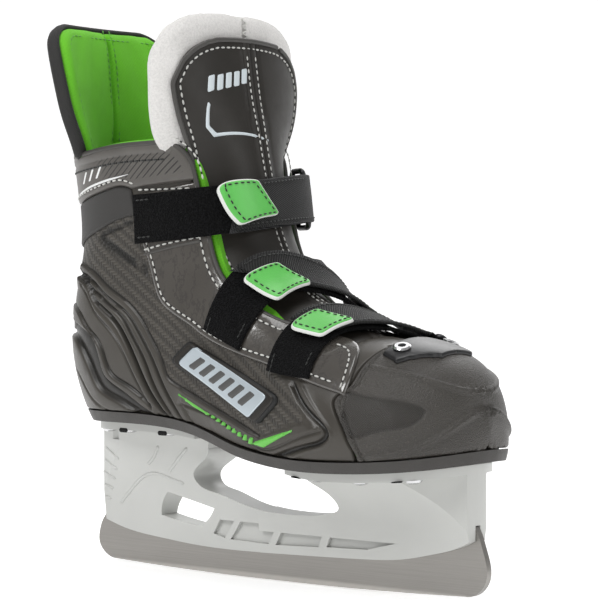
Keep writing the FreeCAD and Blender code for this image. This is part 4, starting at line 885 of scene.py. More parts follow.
# ---------------------------------------------------------------- feature lines of the shell, side view
BAND_LINES = {
    1: [(-100, 130), (-88, 129), (-72.4, 125.1), (-65.2, 119.9), (-56.1, 114.8), (-50.4, 110.9),
        (-44.2, 104.4),
        (-39.7, 97.8), (-34.5, 89.5), (-31, 82.5), (-27.3, 80.4), (-15.4, 75.4), (9.3, 66), (19.4, 61.9)],
    2: [(-100, 127), (-84, 125), (-73.1, 121.2), (-66.7, 116.3), (-57.7, 111.2), (-52.8, 107.8),
        (-47.6, 101.6),
        (-44.8, 97.7), (-38.7, 88.2), (-33.9, 78.7), (-28.6, 69.6), (-24.6, 62.2)],
    3: [(-100, 125), (-84, 122.5), (-71.4, 117), (-64, 112.1), (-55.8, 106.8), (-51.7, 101.2), (-44.1, 89.9),
        (-39.4, 79.8), (-33.8, 70.3), (-28.9, 63)],
    4: [(-100, 124), (-82, 123.5), (-77.2, 121.5), (-73.8, 115.8), (-66.9, 109.9), (-59.1, 104.4),
        (-54.9, 99.3),
        (-48.4, 88.5), (-42.7, 77.8), (-36.4, 68.9), (-30.3, 62.9)],
    5: [(-84, 120), (-78.4, 116), (-73.6, 109.6), (-67.1, 104.2), (-60.6, 98.7), (-53.3, 88.1), (-47.1, 77.3),
        (-43.1, 70.5)],
    6: [(-100, 113), (-90, 111), (-84.5, 107.7), (-78.4, 101.9), (-71.5, 96.6), (-67.7, 89.8), (-64.8, 84.2),
        (-55.3, 79.2), (-42.9, 71.2)],
    7: [(-92, 104), (-82, 101), (-75.6, 96.9), (-72, 89.7), (-69.2, 82.5), (-60.3, 77.1), (-48.2, 70),
        (-37.6, 64.7)],
    8: [(-101, 100), (-92, 98), (-85.8, 93.7), (-78.8, 84.6), (-74.1, 77.8), (-62.5, 72.5), (-50.3, 67),
        (-45.3, 65)],
    9: [(-96, 86), (-88, 80), (-80.6, 72.6), (-69, 67.4), (-63.7, 65.3), (-48.4, 64.2)],
}
WEAVE_EDGE = [(19.4, 61.9), (24.6, 63.4), (41.4, 68.5), (42, 69.7), (38.2, 75.4), (29.5, 83.6)]
STRIPE_LOW = [(-25.5, 72.6), (-8.7, 68.8), (6.5, 62.8), (19.5, 56.9), (36.7, 61.3), (50, 65.4)]
FRONT_GROOVE = [(35.2, 82.2), (46.5, 70.7), (52.7, 63.6), (51.3, 62), (44, 59.3), (26.4, 53.9)]
FRONT_RIDGE = [(39.7, 81.2), (51.2, 69.3), (54.9, 62.9), (53.5, 60.9), (47.2, 58.3), (33.5, 53.7)]
TRIANGLE = [(-25, 71.8), (-22.6, 67.3), (-19.3, 62.9), (-13, 59.5)]
CHEVRON = [(-50.8, 146.9), (-69.8, 140.4), (-68.3, 137.9), (-56.8, 130.3), (-41.8, 123.3), (-42.9, 127.8),
           (-54.5, 133.6), (-65.7, 139.8), (-49.3, 144.8)]
# groove depth and half width along each line
GROOVES = {1: (.4, .9), 2: (.8, .9), 3: (.8, .9), 4: (1.5, 1.5), 5: (.7, .9), 6: (.8, 1.0), 7: (.9, 1.2),
           8: (1.1, 1.3),
           9: (.5, .9)}
# band between two lines: height
BANDS = {(1, 2): .35, (2, 3): .5, (3, 4): .75, (4, 5): .7, (6, 7): .55, (7, 8): -.8}

LINE = {key: smooth(points, 1.0) for key, points in BAND_LINES.items()}
weave_line = np.concatenate([LINE[1], np.array(WEAVE_EDGE)])
WEAVE_ZONE = np.concatenate([weave_line, [(23, 100), (-20, 118), (-30, 150), (-60, 160), (-125, 150),
                                          (-125, 130)]])
HEEL_ZONE = np.concatenate([LINE[8], [(-45, 50), (-125, 50), (-125, 100)]])
stripe_line = smooth(STRIPE_LOW, 1.0)
STRIPE_ZONE = np.concatenate([LINE[1][LINE[1][:, 0] > -26], np.array(WEAVE_EDGE[:4]), stripe_line[::-1]])
LOWER_ZONE = np.array([(-25, 71), (-8.7, 67.5), (6.5, 61.5), (19.5, 55.5), (26, 54), (-8, 54), (-22, 60)])


RELIEF = 1.35


def raised(points, polygon, height, ramp=0.7):
    """Height inside a side-view polygon, easing in from its edge."""
    gap, _ = reach(points, polygon, True)
    ease = np.clip(gap / ramp, 0, 1)
    return np.where(inside(points, polygon), height * ease * ease * (3 - 2 * ease), 0.0)


def groove(points, line, depth, half):
    """Rounded groove along a side-view line."""
    gap, _ = reach(points, line)
    share = np.clip(gap / half, 0, 1)
    return -depth * (1 - share * share) ** 2


def shell_relief(points):
    """Moulded bands, grooves and heel cup of the quarter shell."""
    flat = points[:, [0, 2]]
    total = np.zeros(len(flat))
    for (a, b), height in BANDS.items():
        total += raised(flat, np.concatenate([LINE[a], LINE[b][::-1]]), height)
    total += raised(flat, HEEL_ZONE, .6)
    total += raised(flat, STRIPE_ZONE, .45)
    total += raised(flat, LOWER_ZONE, -.35)
    for key, (depth, half) in GROOVES.items():
        total += groove(flat, LINE[key], depth, half)
    total += groove(flat, stripe_line, .5, .8)
    total += groove(flat, smooth(FRONT_GROOVE, 1.0), 1.3, 1.5)
    total -= groove(flat, smooth(FRONT_RIDGE, 1.0), .5, 1.2)
    total += groove(flat, smooth(TRIANGLE, 1.0), .5, .8)
    total += raised(flat, np.array(CHEVRON), -.6, .5)
    return np.clip(total * RELIEF, -1.5, 1.5)


def shell_marks(points):
    """Where the shell is plain instead of woven, and where its grooves and the recess between lines 7 and 8
    get painted shade.
    """
    flat = points[:, [0, 2]]
    gap, _ = reach(flat, WEAVE_ZONE, True)
    plain = np.where(inside(flat, WEAVE_ZONE), np.clip(.5 - gap, 0, 1), np.clip(.5 + gap, 0, 1))
    # painted shade mask: the recess between lines 7 and 8 and a band along each groove
    painted_groove_shade = raised(flat, np.concatenate([LINE[7], LINE[8][::-1]]), .75, .6)
    painted_groove_shade = np.maximum(painted_groove_shade, -groove(flat, LINE[4], .95, 1.3))
    painted_groove_shade = np.maximum(painted_groove_shade, -groove(flat, smooth(FRONT_GROOVE, 1.0), .95, 1.4))
    painted_groove_shade = np.maximum(painted_groove_shade, raised(flat, np.array(CHEVRON), .85, .4))
    for key in (1, 2, 3, 5, 6, 8):
        painted_groove_shade = np.maximum(painted_groove_shade, -groove(flat, LINE[key], .8, .8))
    return {"plain": plain, "painted_groove_shade": np.clip(painted_groove_shade, 0, 1)}


# ---------------------------------------------------------------- outlines, as in the CAD
SOLE_LINE = [(-112, 62.5), (-97, 62.3), (-48, 62.6), (-24, 60.2), (-12, 57.2), (0, 53.6), (16, 50.6),
             (27, 49.4),
             (54, 49), (78, 50.4), (98, 53.2), (112, 57.2)]
TOP_LINE = [(-125, 173.2), (-105, 173.2), (-85, 173.6), (-72.5, 174.6), (-58, 176.2), (-42, 177),
            (-30.9, 177.4)]
THROAT = [(-30.9, 177.4), (-27, 175), (-23.6, 170.7), (-21.9, 165.3), (-21.2, 162.3), (-15.8, 141.4),
          (-12.8, 132.2), (-8, 123.6), (-3.1, 118.5), (9.5, 109.6), (18.8, 105.7), (34, 101.2), (45, 98.6)]
BAND_EDGE = [(-125, 150.5), (-98, 152.5), (-84, 154.6), (-71.6, 157.2), (-62.1, 159.3), (-54.2, 160.3),
             (-49.8, 159.1)]
SHELL_EDGE = [(-125, 129), (-98, 133), (-80.6, 138.8), (-66.8, 143.2), (-57.7, 146.6), (-50.1, 148.2)]
FACING_REAR = [(-48.4, 156.2), (-46.7, 148.5), (-44.9, 140), (-44.1, 135.6), (-42.3, 131.6), (-40, 125.4),
               (-37.8, 118.6), (-34.8, 113), (-28.8, 108.5), (-17.7, 102.8), (-14.7, 101), (2.3, 94),
               (12.3, 91.3),
               (23, 88.7), (32.1, 86), (41.7, 83.2), (50.9, 80.8), (56, 79.6)]
FACING_FRONT = [(59.3, 78.5), (59.6, 83.4), (54.1, 95.4), (48.1, 98.1), (43.5, 99.2)]
CAP_REAR = [(64, 99), (60.6, 87.8), (59.4, 82), (55.1, 77.6), (57.7, 70.6), (60.9, 64), (63.6, 58.8),
            (66.5, 50)]
SHELL_FLOOR = 4.7


def moved(points, dx, dz):
    """Side-view points moved."""
    return [(x + dx, z + dz) for x, z in points]


def edge_of(*runs, step=0.8):
    """Surface outline of both sides from side-view runs."""
    return BOOT[LATERAL].locate(outline(*runs, step=step))


BOTH = [LATERAL, MEDIAL]
SIDE_NAME = {LATERAL: "lateral", MEDIAL: "medial"}
COVER_LOW, COVER_TOP, INK = .2, 1.6, .15
EDGE_LINES = [beside(points, 0, .45, -.45, .95, -.95, 1.6, -1.6, step=.9) for points in BAND_LINES.values()]
EDGE_LINES += [beside(points, 0, .45, -.45, .95, -.95, 1.5, -1.5, step=.9)
               for points in (STRIPE_LOW, FRONT_GROOVE, FRONT_RIDGE, TRIANGLE, WEAVE_EDGE,
                              CHEVRON + CHEVRON[:1])]

floor_line = moved(SOLE_LINE[:10], 0, SHELL_FLOOR)
shell_edge = edge_of([p for p in floor_line if p[0] < 60] + [(64, 53.9)], moved(CAP_REAR[::-1][1:], -.2, 0),
                     [(64, 104), (49, 110)], [(49, 110), (49, 98)], moved(THROAT[::-1], -1, -.6),
                     moved(TOP_LINE[::-1], 0, -.8), [(-125, 172.4), (-125, 67)])
for side in BOTH:
    word = SIDE_NAME[side]
    panel("shell_" + word, shell_edge, [side], -2, 0, SHELL, slot="shell", replaces=["quarter_" + word],
          relief=shell_relief, lines=EDGE_LINES, extra_attributes=shell_marks, spacing=2.2)

cover_slot = dict(slot="cover")
panel_edge = edge_of(moved(BAND_EDGE, -.2, -.3), [(-50, 158.8), (-49.4, 156.2)],
                     [(-49.4, 156.2), (-47.4, 148.6)],
                     SHELL_EDGE[::-1], [(-125, 129), (-125, 150.2)])
panel("ankle_cover", panel_edge, BOTH, .2, 1.2, PANEL, replaces=["ankle_panel"], soft=.6,
      seam="heel", **cover_slot)
band_edge = edge_of(TOP_LINE, THROAT[:5], [THROAT[4], BAND_EDGE[-1]], BAND_EDGE[::-1],
                    [(-125, 150.5), (-125, 173.2)])


def collar_relief(points):
    """Collar band stands prouder in its middle, with a channel under its top edge."""
    flat = points[:, [0, 2]]
    line = smooth(moved(TOP_LINE, 0, -4.2), 1.0)
    return groove(flat, line, .45, .9)


panel("collar_cover", band_edge, BOTH, COVER_LOW, COVER_TOP, COLLAR, replaces=["collar_band"], soft=1.2,
      relief=collar_relief, lines=[beside(moved(TOP_LINE, 0, -4.2), 0, .5, -.5, 1, -1)], seam="heel",
      **cover_slot)

facing_edge = edge_of(FACING_REAR, FACING_FRONT, THROAT[5:-1][::-1], [THROAT[5], (-20.9, 161.5)],
                      [(-20.9, 161.5), (-48, 156.8)])
for side in BOTH:
    word = SIDE_NAME[side]
    panel("facing_cover_" + word, facing_edge, [side], COVER_LOW, COVER_TOP, PATENT, slot="facing",
          replaces=["facing_" + word], soft=1.0)


def heel_breadth(half):
    """Surface coordinate across the heel for a half width, for each row of the form."""
    patch = BOOT[LATERAL]
    rows = []
    for row in patch.points:
        wide = np.maximum.accumulate(np.abs(row[:160, 1]))
        rows.append(np.interp(half, wide, np.arange(160)) * patch.step[1])
    return np.array(rows)


HEEL_HALF, HEEL_ROW, HEEL_TOP = 8.0, 6.2, 1.3
heel_b = heel_breadth(HEEL_HALF)
low_a, high_a = BOOT[LATERAL].locate([(-125, 70), (-125, 131)])[:, 0]
rows_a = np.arange(low_a, high_a, .8)
rows_b = np.interp(rows_a, np.arange(len(heel_b)) * BOOT[LATERAL].step[0], heel_b)
stay_edge = np.concatenate([np.stack([rows_a, rows_b], 1), np.stack([rows_a[::-1], rows_a * 0], 1)])
panel("heel_strip", stay_edge, BOTH, COVER_LOW, HEEL_TOP, LEATHER, replaces=["backstay"], seam="heel",
      **cover_slot)

# ---------------------------------------------------------------- toe cap
CAP_TOP, CAP_RELIEF = .9, 1.9
UPPER_CREASE = [(65, 88.9), (76.2, 87.4), (86.7, 84.2), (92.8, 81.5), (97, 79.2)]
LOWER_CREASE = [(68.2, 56.8), (87.3, 60.8), (90.2, 62.6), (95.8, 69.1), (97.4, 73.1)]
INSET = [(59.5, 80.9), (73.8, 78.4), (85.8, 76), (88.4, 74), (88.1, 71.4), (85, 68), (74.5, 65.5), (62.1, 63)]


def toe_relief(points):
    """Creases and the recessed side inset of the toe cap."""
    flat = points[:, [0, 2]]
    total = raised(flat, outline(INSET + INSET[:1]), -.5, .7)
    total -= groove(flat, smooth(UPPER_CREASE, 1.0), .6, 1.1)
    total -= groove(flat, smooth(LOWER_CREASE, 1.0), .6, 1.1)
    total += groove(flat, smooth(moved(CAP_REAR, 2.6, .4), 1.0), .5, .8)
    return total * CAP_RELIEF


def toe_marks(points):
    """Mesh inset of the toe cap."""
    flat = points[:, [0, 2]]
    return {"plain": raised(flat, outline(INSET + INSET[:1]), 1.0, .5)}


located = BOOT[LATERAL].locate
cap_sole = located(smooth([(66.4, 54), (78, 55.1), (90, 56.5), (96, 57.5), (98.3, 58.2)], .8))
crown_a = np.arange(0, located([(64, 104)])[0][0], .8)
cap_edge = np.concatenate([
    located(smooth(CAP_REAR[:-1], .8)), located([(64.6, 55), (65.4, 54)]), cap_sole, [[0, 0]],
    np.stack([np.zeros(60), np.linspace(2, 118, 60)], 1),
    np.stack([crown_a, np.full(len(crown_a), Boot.GIRTH)], 1)])
toe_lines = [beside(points, 0, .5, -.5, 1, -1, 1.6, -1.6) for points in
             (UPPER_CREASE, LOWER_CREASE, INSET + INSET[:1], moved(CAP_REAR, 2.6, .4))]
panel("toe_cap_cover", cap_edge, BOTH, -2, CAP_TOP, TOE, slot="toe", replaces=["toe_cap"], soft=1.4,
      relief=toe_relief, lines=toe_lines, seam="crown", extra_attributes=toe_marks, spacing=2.0)


# ---------------------------------------------------------------- sewn lines, cords and prints
def path_on(patch, ab, height=0.0):
    """Points and outward directions along surface coordinates."""
    return patch.at(np.asarray(ab, float), height)


def turned_frames(points, normals):
    """Unit directions along, aside and out for each point of a line."""
    along = unit(np.gradient(points, axis=0))
    aside = unit(np.cross(normals, along))
    return along, aside, np.cross(along, aside)


def beads(name, centres, frames, sizes, material, body, slot=None, ring=6, rows=5):
    """One mesh of small rounded grains: centres, directions and half sizes."""
    along, aside, out = frames
    turn = np.arange(ring) * 2 * math.pi / ring
    points, faces, start = [], [], 0
    round_part = [(math.sin(t), math.cos(t)) for t in np.linspace(-1.15, 1.15, rows)]
    shape = [(-1.0, 0.0)] + round_part + [(1.0, 0.0)]
    for c, u, v, w in zip(centres, along, aside, out):
        for k, (x, r) in enumerate(shape):
            if r == 0.0:
                points.append(c + u * x * sizes[0])
                continue
            for t in turn:
                points.append(c + u * x * sizes[0] + v * math.cos(t) * r * sizes[1]
                              + w * math.sin(t) * r * sizes[2])
        first, last = start, start + rows * ring + 1
        for i in range(ring):
            j = (i + 1) % ring
            faces.append((first, first + 1 + j, first + 1 + i))
            faces.append((last, last - ring + i, last - ring + j))
            for k in range(rows - 1):
                a = first + 1 + k * ring
                faces.append((a + i, a + j, a + ring + j, a + ring + i))
        start = last + 1
    return add_mesh(name, np.array(points), faces, material, body, slot)


def stitches(name, points, normals, body, slot=None, material=None, pitch=3.1, length=2.2, radius=.42,
             hole_shade=True):
    """Row of stitches lying on a line of points, with painted shade between them: a dark flat bead at each
    needle hole.
    """
    run = lengths(points)
    at = np.arange(pitch / 2, run[-1], pitch)
    pick = lambda rows, where: np.stack([np.interp(where, run, rows[:, i]) for i in range(3)], 1)
    dense = np.arange(0, run[-1], .5)
    u, v, w = turned_frames(pick(points, dense), unit(pick(normals, dense)))
    frames = lambda where: tuple(unit(np.stack([np.interp(where, dense, f[:, i]) for i in range(3)], 1))
                                 for f in (u, v, w))
    at = at + rng.normal(0, .05, len(at))
    made = [beads(name, pick(points, at) + frames(at)[2] * radius * .35, frames(at),
                  (length / 2, radius, radius * .8),
                  material or WHITE_THREAD, body, slot)]
    if hole_shade:
        # painted shade: flat near-black beads in the gaps between stitches
        gaps = at[:-1] + np.diff(at) / 2
        made.append(beads(name + "_hole_shade", pick(points, gaps), frames(gaps),
                          ((pitch - length) * .62, radius * 1.05, .12), HOLE_SHADE, body, slot, rows=3))
    return made


def sewn(name, line_xz, sides, height, body="boot", slot=None, **options):
    """Stitch row along a side-view line on the boot."""
    for side in sides:
        ab = located(spaced(line_xz, .7))
        points, normals = path_on(BOOT[side], ab, height)
        stitches("%s_%s" % (name, SIDE_NAME[side]), points, normals, body, slot, **options)


def inset_line(line, by, step=.7):
    """Smooth side-view line moved to its left."""
    return beside(line, by, step=step)


def tube(name, points, radius, material, body, slot=None, sides=10, flat=1.0, normals=None, closed=False,
         **more):
    """Round or flattened cord along points, with rounded ends."""
    points = np.asarray(points, float)
    if normals is None:
        normals = np.tile([0.0, 1.0, 0.0], (len(points), 1))
    if closed:
        wrapped = np.concatenate([points[-1:], points, points[:1]])
        along = unit(wrapped[2:] - wrapped[:-2])
    else:
        along = unit(np.gradient(points, axis=0))
    aside = unit(np.cross(normals, along))
    out = np.cross(along, aside)
    grow = np.ones(len(points))
    if not closed:
        run = lengths(points)
        near = np.minimum(run, run[-1] - run) / radius
        grow = np.sqrt(np.clip(1 - (1 - np.clip(near, 0, 1)) ** 2, .02, 1))
    turn = np.arange(sides) * 2 * math.pi / sides
    ring = (points[:, None] + aside[:, None] * (np.cos(turn)[None, :, None] * radius * grow[:, None, None])
            + out[:, None] * (np.sin(turn)[None, :, None] * radius * flat * grow[:, None, None]))
    count = len(points)
    faces = []
    for k in range(count if closed else count - 1):
        a, b = k * sides, ((k + 1) % count) * sides
        faces += [(a + i, a + (i + 1) % sides, b + (i + 1) % sides, b + i) for i in range(sides)]
    if not closed:
        faces.append(tuple(range(sides))[::-1])
        faces.append(tuple((count - 1) * sides + i for i in range(sides)))
    return add_mesh(name, ring.reshape(-1, 3), faces, material, body, slot, **more)


def rounded(corner_points, radius, step=.6):
    """Closed outline through corners with rounded tips."""
    pts = np.asarray(corner_points, float)
    out = []
    for before, here, after in zip(np.roll(pts, 1, axis=0), pts, np.roll(pts, -1, axis=0)):
        u, v = unit(before - here), unit(after - here)
        half = math.acos(float(np.clip(u @ v, -1, 1))) / 2
        cut = min(radius / math.tan(half), np.linalg.norm(before - here) * .45,
                  np.linalg.norm(after - here) * .45)
        a, b = here + u * cut, here + v * cut
        for t in np.linspace(0, 1, 7):
            out.append(a * (1 - t) ** 2 + 2 * here * t * (1 - t) + b * t * t)
    out = np.array(out)
    return spaced(np.concatenate([out, out[:1]]), step)[:-1]


def decal(name, corner_points, sides, low, high, material, body="boot", slot=None, radius=.5, spacing=1.5,
          **more):
    """Small print or inlay from side-view corners."""
    return panel(name, located(rounded(corner_points, radius, .5)), sides, low, high, material, body, slot,
                 soft=.3, spacing=spacing, **more)


# ---------------------------------------------------------------- stitching of facings, band and panel
facing_slot = dict(slot="facing")
rear_row = inset_line(FACING_REAR, 2.6)
sewn("facing_rear_stitch", rear_row[4:-6], BOTH, COVER_TOP, **facing_slot)
throat_row = inset_line(THROAT[5:-1], -2.9)
sewn("facing_throat_stitch", throat_row, BOTH, COVER_TOP, **facing_slot)
front_row = inset_line(FACING_FRONT, 2.6)
sewn("facing_front_stitch", front_row[3:-3], BOTH, COVER_TOP, **facing_slot)
sewn("facing_top_stitch", np.array([(-46, 158.6), (-23.5, 158.8)]), BOTH, COVER_TOP, **facing_slot)
CROSS_SEAM = [(-43.4, 132.2), (-30, 135.2), (-17.4, 137.4)]
sewn("facing_cross_stitch", smooth(moved(CROSS_SEAM, 0, 1.9)), BOTH, COVER_TOP, **facing_slot)
for side in BOTH:
    seam_points, seam_normals = path_on(BOOT[side], located(smooth(CROSS_SEAM, 1.0)), 1.65)
    tube("facing_cross_edge_" + SIDE_NAME[side], seam_points, .55, PIPING, "boot", "facing", flat=.7,
         normals=seam_normals, sides=8)
sewn("band_low_stitch", inset_line(BAND_EDGE[1:], 2.4), BOTH, COVER_TOP, **cover_slot)
sewn("band_top_stitch", smooth(moved(TOP_LINE[1:], 0, -6.6), .7)[:-3], BOTH, COVER_TOP,
     material=BLACK_THREAD, **cover_slot)
sewn("band_front_stitch", inset_line(THROAT[:5], 2.6)[2:], BOTH, COVER_TOP, **cover_slot)
stay_b = np.interp(rows_a, np.arange(len(heel_b)) * BOOT[LATERAL].step[0], heel_breadth(HEEL_ROW))
for side in BOTH:
    stay_points, stay_normals = path_on(BOOT[side], np.stack([rows_a, stay_b], 1)[4:-4], HEEL_TOP)
    stitches("heel_strip_stitch_" + SIDE_NAME[side], stay_points, stay_normals, "boot", "cover", BLACK_THREAD)

# rolled edge of the lining along the collar and the throat
LINING_LEVEL = -3.2
for side in BOTH:
    rim_line = np.concatenate([smooth(moved(TOP_LINE[1:], 0, .7), 1.0),
                               smooth(moved(THROAT[1:-1], 1.1, .9), 1.0)])
    rim_points, rim_normals = path_on(BOOT[side], located(rim_line), LINING_LEVEL)
    tube("lining_rim_" + SIDE_NAME[side], rim_points, 1.35, GREEN, "boot", "lining", normals=rim_normals)
    cover_points, cover_normals = path_on(BOOT[side], located(smooth(moved(TOP_LINE[1:], 0, .1), 1.0)), .4)
    tube("collar_piping_" + SIDE_NAME[side], cover_points, 1.25, PIPING, "boot", "cover",
         normals=cover_normals)
    throat_points, throat_normals = path_on(BOOT[side], located(smooth(THROAT[:-1], 1.0)), .3)
    tube("throat_binding_" + SIDE_NAME[side], throat_points, 1.1, PIPING, "boot", "facing",
         normals=throat_normals)

# ---------------------------------------------------------------- prints and inlays
GREEN_TAIL = [(-28.2, 78.2), (-15.7, 72.9), (-8.0, 69.6), (-9.4, 68.6), (-17.6, 71.5), (-25.6, 76.0)]
GREEN_BLOCK = [(17.4, 60), (42.6, 66.9), (21.5, 57.6), (15.3, 58.9)]
DASHES = 8
INLAY = (.2, 1.5)
SIDES = [(SIDE_NAME[side], [side]) for side in BOTH]
for word, sides in SIDES:
    decal("stripe_tail_" + word, GREEN_TAIL, sides, *INLAY, ACCENT, slot="shell", radius=.15, spacing=.9)
    decal("stripe_block_" + word, GREEN_BLOCK, sides, *INLAY, ACCENT, slot="shell", radius=.4)
    for k in range(DASHES):
        share = k / (DASHES - 1)
        x, z = -6.5 + 21.3 * share, 68.3 - 8.3 * share
        size = .75 + .6 * share
        dash = [(x - 1.7, z - size), (x + .6, z - size * 1.1), (x + 1.8, z + size), (x - .5, z + size * 1.1)]
        decal("stripe_dash_%d_%s" % (k + 1, word), dash, sides, *INLAY, ACCENT, slot="shell", radius=.15,
              spacing=.9)

BADGE_CORNERS = [(-26.8, 88.8), (-16.8, 96.5), (27.4, 77.3), (16.4, 67.8)]


def shrunk(points, by):
    """Outline moved inwards, more along its length than across."""
    points = np.asarray(points, float)
    middle = points.mean(0)
    way = unit(points - middle)
    return points - way * np.array([1.6, .9]) * by


def badge_spot(u, v):
    """Place on the badge: u along, v across, each from 0 to 1."""
    p = np.array(BADGE_CORNERS)
    low, high = p[0] * (1 - u) + p[3] * u, p[1] * (1 - u) + p[2] * u
    return tuple(low * (1 - v) + high * v)


for word, sides in SIDES:
    decal("badge_outline_" + word, shrunk(BADGE_CORNERS, -2.6), sides, .1, 1.4, BADGE_LINE, slot="trim",
          radius=3.4)
    decal("badge_rim_" + word, shrunk(BADGE_CORNERS, -1.7), sides, .2, 1.9, LEATHER, slot="trim", radius=3.2,
          replaces=["badge_frame_" + word])
    decal("badge_groove_" + word, shrunk(BADGE_CORNERS, .1), sides, .9, 2.05, BADGE_LINE, slot="trim",
          radius=2.8)
    decal("badge_face_" + word, shrunk(BADGE_CORNERS, .75), sides, .9, 2.2, BADGE, slot="badge", radius=2.4,
          replaces=["badge_plate_" + word])
    for k in range(6):
        u0 = .13 + .127 * k
        bar = [badge_spot(u0, .22), badge_spot(u0 + .03, .78), badge_spot(u0 + .11, .78),
               badge_spot(u0 + .08, .22)]
        decal("badge_bar_%d_%s" % (k + 1, word), bar, sides, 2.1, 2.4, BADGE_MARK, slot="badge", radius=.8)

COLLAR_STROKE = [(-86, 156.9), (-73.4, 160.0), (-61.5, 162.5), (-48.8, 165.3), (-61.3, 163.5),
                 (-73.2, 161.0), (-86, 157.7)]
for word, sides in SIDES:
    decal("collar_line_" + word, COLLAR_STROKE, sides, COVER_TOP, COVER_TOP + INK, WHITE_PRINT, slot="cover",
          radius=.1, spacing=.8)
    for k in range(3):
        x = -80 + 5.2 * k
        slash = [(x, 161.6 + k), (x + 1.5, 161.9 + k), (x + 4.4, 166.8 + k), (x + 2.9, 166.5 + k)]
        decal("collar_slash_%d_%s" % (k + 1, word), slash, sides, COVER_TOP, COVER_TOP + INK, WHITE_PRINT,
              slot="cover", radius=.3)

# ---------------------------------------------------------------- tongue
# crown x, z; outward x, z; half width; depth of the widest line; roundness; depth of felt and of face
TONGUE = [
    (54, 97.0, -0.06, 1.0, 19, 20, 2.0, 10, 8),
    (42, 102, -0.06, 1.0, 24, 24, 2.1, 12, 9),
    (24, 110, 0.0, 1.0, 32, 36, 2.1, 15, 11),
    (9.5, 119.5, 0.12, 0.99, 31.5, 44, 2.1, 19, 14),
    (2, 131, 0.31, 0.95, 30.2, 50, 2.2, 22, 16),
    (-3, 142, 0.48, 0.88, 29.7, 56, 2.3, 25, 18),
    (-6, 153, 0.61, 0.79, 29.7, 60, 2.4, 27, 20),
    (-8, 163, 0.70, 0.72, 29.7, 58, 2.5, 28, 21),
    (-10, 172, 0.75, 0.67, 30.0, 50, 2.5, 28, 20),
    (-12, 182, 0.77, 0.63, 33.5, 38, 2.4, 27, 17),
    (-14.5, 193, 0.79, 0.61, 41, 28, 2.3, 27, 13.5),
    (-16.5, 205, 0.82, 0.58, 45.5, 23, 2.2, 26, 11.5),
    (-18.5, 220, 0.85, 0.53, 46.5, 20, 2.1, 24, 10),
    (-20, 242, 0.86, 0.51, 46, 19, 2.05, 22, 9),
]
TONGUE_RAISE, TONGUE_TOP, FELT_RIM, FACE_DROP = 1.2, 229.0, 8.0, 10.5
TONGUE_LENGTH, TONGUE_WIDTH = 165.0, 110.0
FACE_SKIN, TONGUE_DEPTH = 2.1, 7.0


class Tongue(Patch):
    """Outer surface of the tongue: a up its length, b across from the lateral edge."""

    def __init__(self):
        columns, sides = [], []
        for x, z, ux, uz, half, depth, high, felt_depth, face_depth in TONGUE:
            norm = math.hypot(ux, uz)
            ux, uz = ux / norm, uz / norm
            t = np.linspace(0, math.pi, 2001)
            sn, cs = np.sin(t), np.cos(t)
            back_off = (1 - sn ** (2 / high)) * (depth + TONGUE_RAISE)
            across = -np.sign(cs) * half * np.abs(cs) ** (2 / high)
            keep = back_off <= felt_depth
            line = np.stack([x + ux * (TONGUE_RAISE - back_off), across,
                             z + uz * (TONGUE_RAISE - back_off)], 1)[keep]
            run = lengths(line)
            even = np.linspace(0, run[-1], 221)
            columns.append(np.stack([np.interp(even, run, line[:, i]) for i in range(3)], 1))
            first = np.nonzero(back_off[keep] <= face_depth)[0][0]
            sides.append(run[first] / run[-1] * TONGUE_WIDTH)
        columns = np.array(columns)
        gaps = np.linalg.norm(np.diff(columns[:, 110], axis=0), axis=1)
        knots = np.concatenate([[0], np.cumsum(gaps)])
        knots *= TONGUE_LENGTH / knots[-1]
        at = np.linspace(0, TONGUE_LENGTH, 331)
        self.face_side = cubic(knots, np.array(sides)[:, None], at)[:, 0]
        self.rows = at
        super().__init__(cubic(knots, columns, at), TONGUE_LENGTH / 330, TONGUE_WIDTH / 220,
                         lambda p: np.tile([1.0, 0, .6], p.shape[:2] + (1,)))

    def front(self, yz):
        """Surface coordinates of front-view points near the top."""
        start = 150
        grid = self.points[start:].reshape(-1, 3)[:, 1:]
        found = []
        for p in np.atleast_2d(yz):
            k = int(np.argmin(((grid - p) ** 2).sum(1)))
            found.append(((k // 221 + start) * self.step[0], (k % 221) * self.step[1]))
        return np.array(found)


TONGUE_FORM = Tongue()


def top_curve(half, top, share):
    """Rounded top outline in front view, lateral to medial."""
    r = half * share
    points = [(-half - 2, top - r), (-half * .93, top - r * .45), (-half * .72, top - r * .08), (0, top + 2),
              (half * .72, top - r * .08), (half * .93, top - r * .45), (half + 2, top - r)]
    return smooth(points, .8)


def tongue_outline(half, top, share, side_b, low_a=0.0):
    """Closed outline in surface coordinates: up one side, over the top and down the other."""
    over = TONGUE_FORM.front(top_curve(half, top, share))
    over = spaced(over[(over[:, 1] > .3) & (over[:, 1] < TONGUE_WIDTH - .3)], .8)
    up = np.arange(low_a, over[0][0], .8)
    down = np.arange(low_a, over[-1][0], .8)[::-1]
    edge_b = np.interp(up, TONGUE_FORM.rows, side_b)
    other_b = TONGUE_WIDTH - np.interp(down, TONGUE_FORM.rows, side_b)
    up, down = np.stack([up, edge_b], 1), np.stack([down, other_b], 1)
    kept_over = over[(over[:, 1] >= up[-1][1] - .01) & (over[:, 1] <= down[0][1] + .01)]
    across = np.linspace(up[0][1], down[-1][1], 60)[1:-1]
    bottom = np.stack([np.full(58, low_a), across], 1)[::-1]
    loop = np.concatenate([up, kept_over, down, bottom])
    for _ in range(2):
        loop = loop * .5 + np.roll(loop, 1, axis=0) * .25 + np.roll(loop, -1, axis=0) * .25
    return spaced(np.concatenate([loop, loop[:1]]), .9)[:-1]


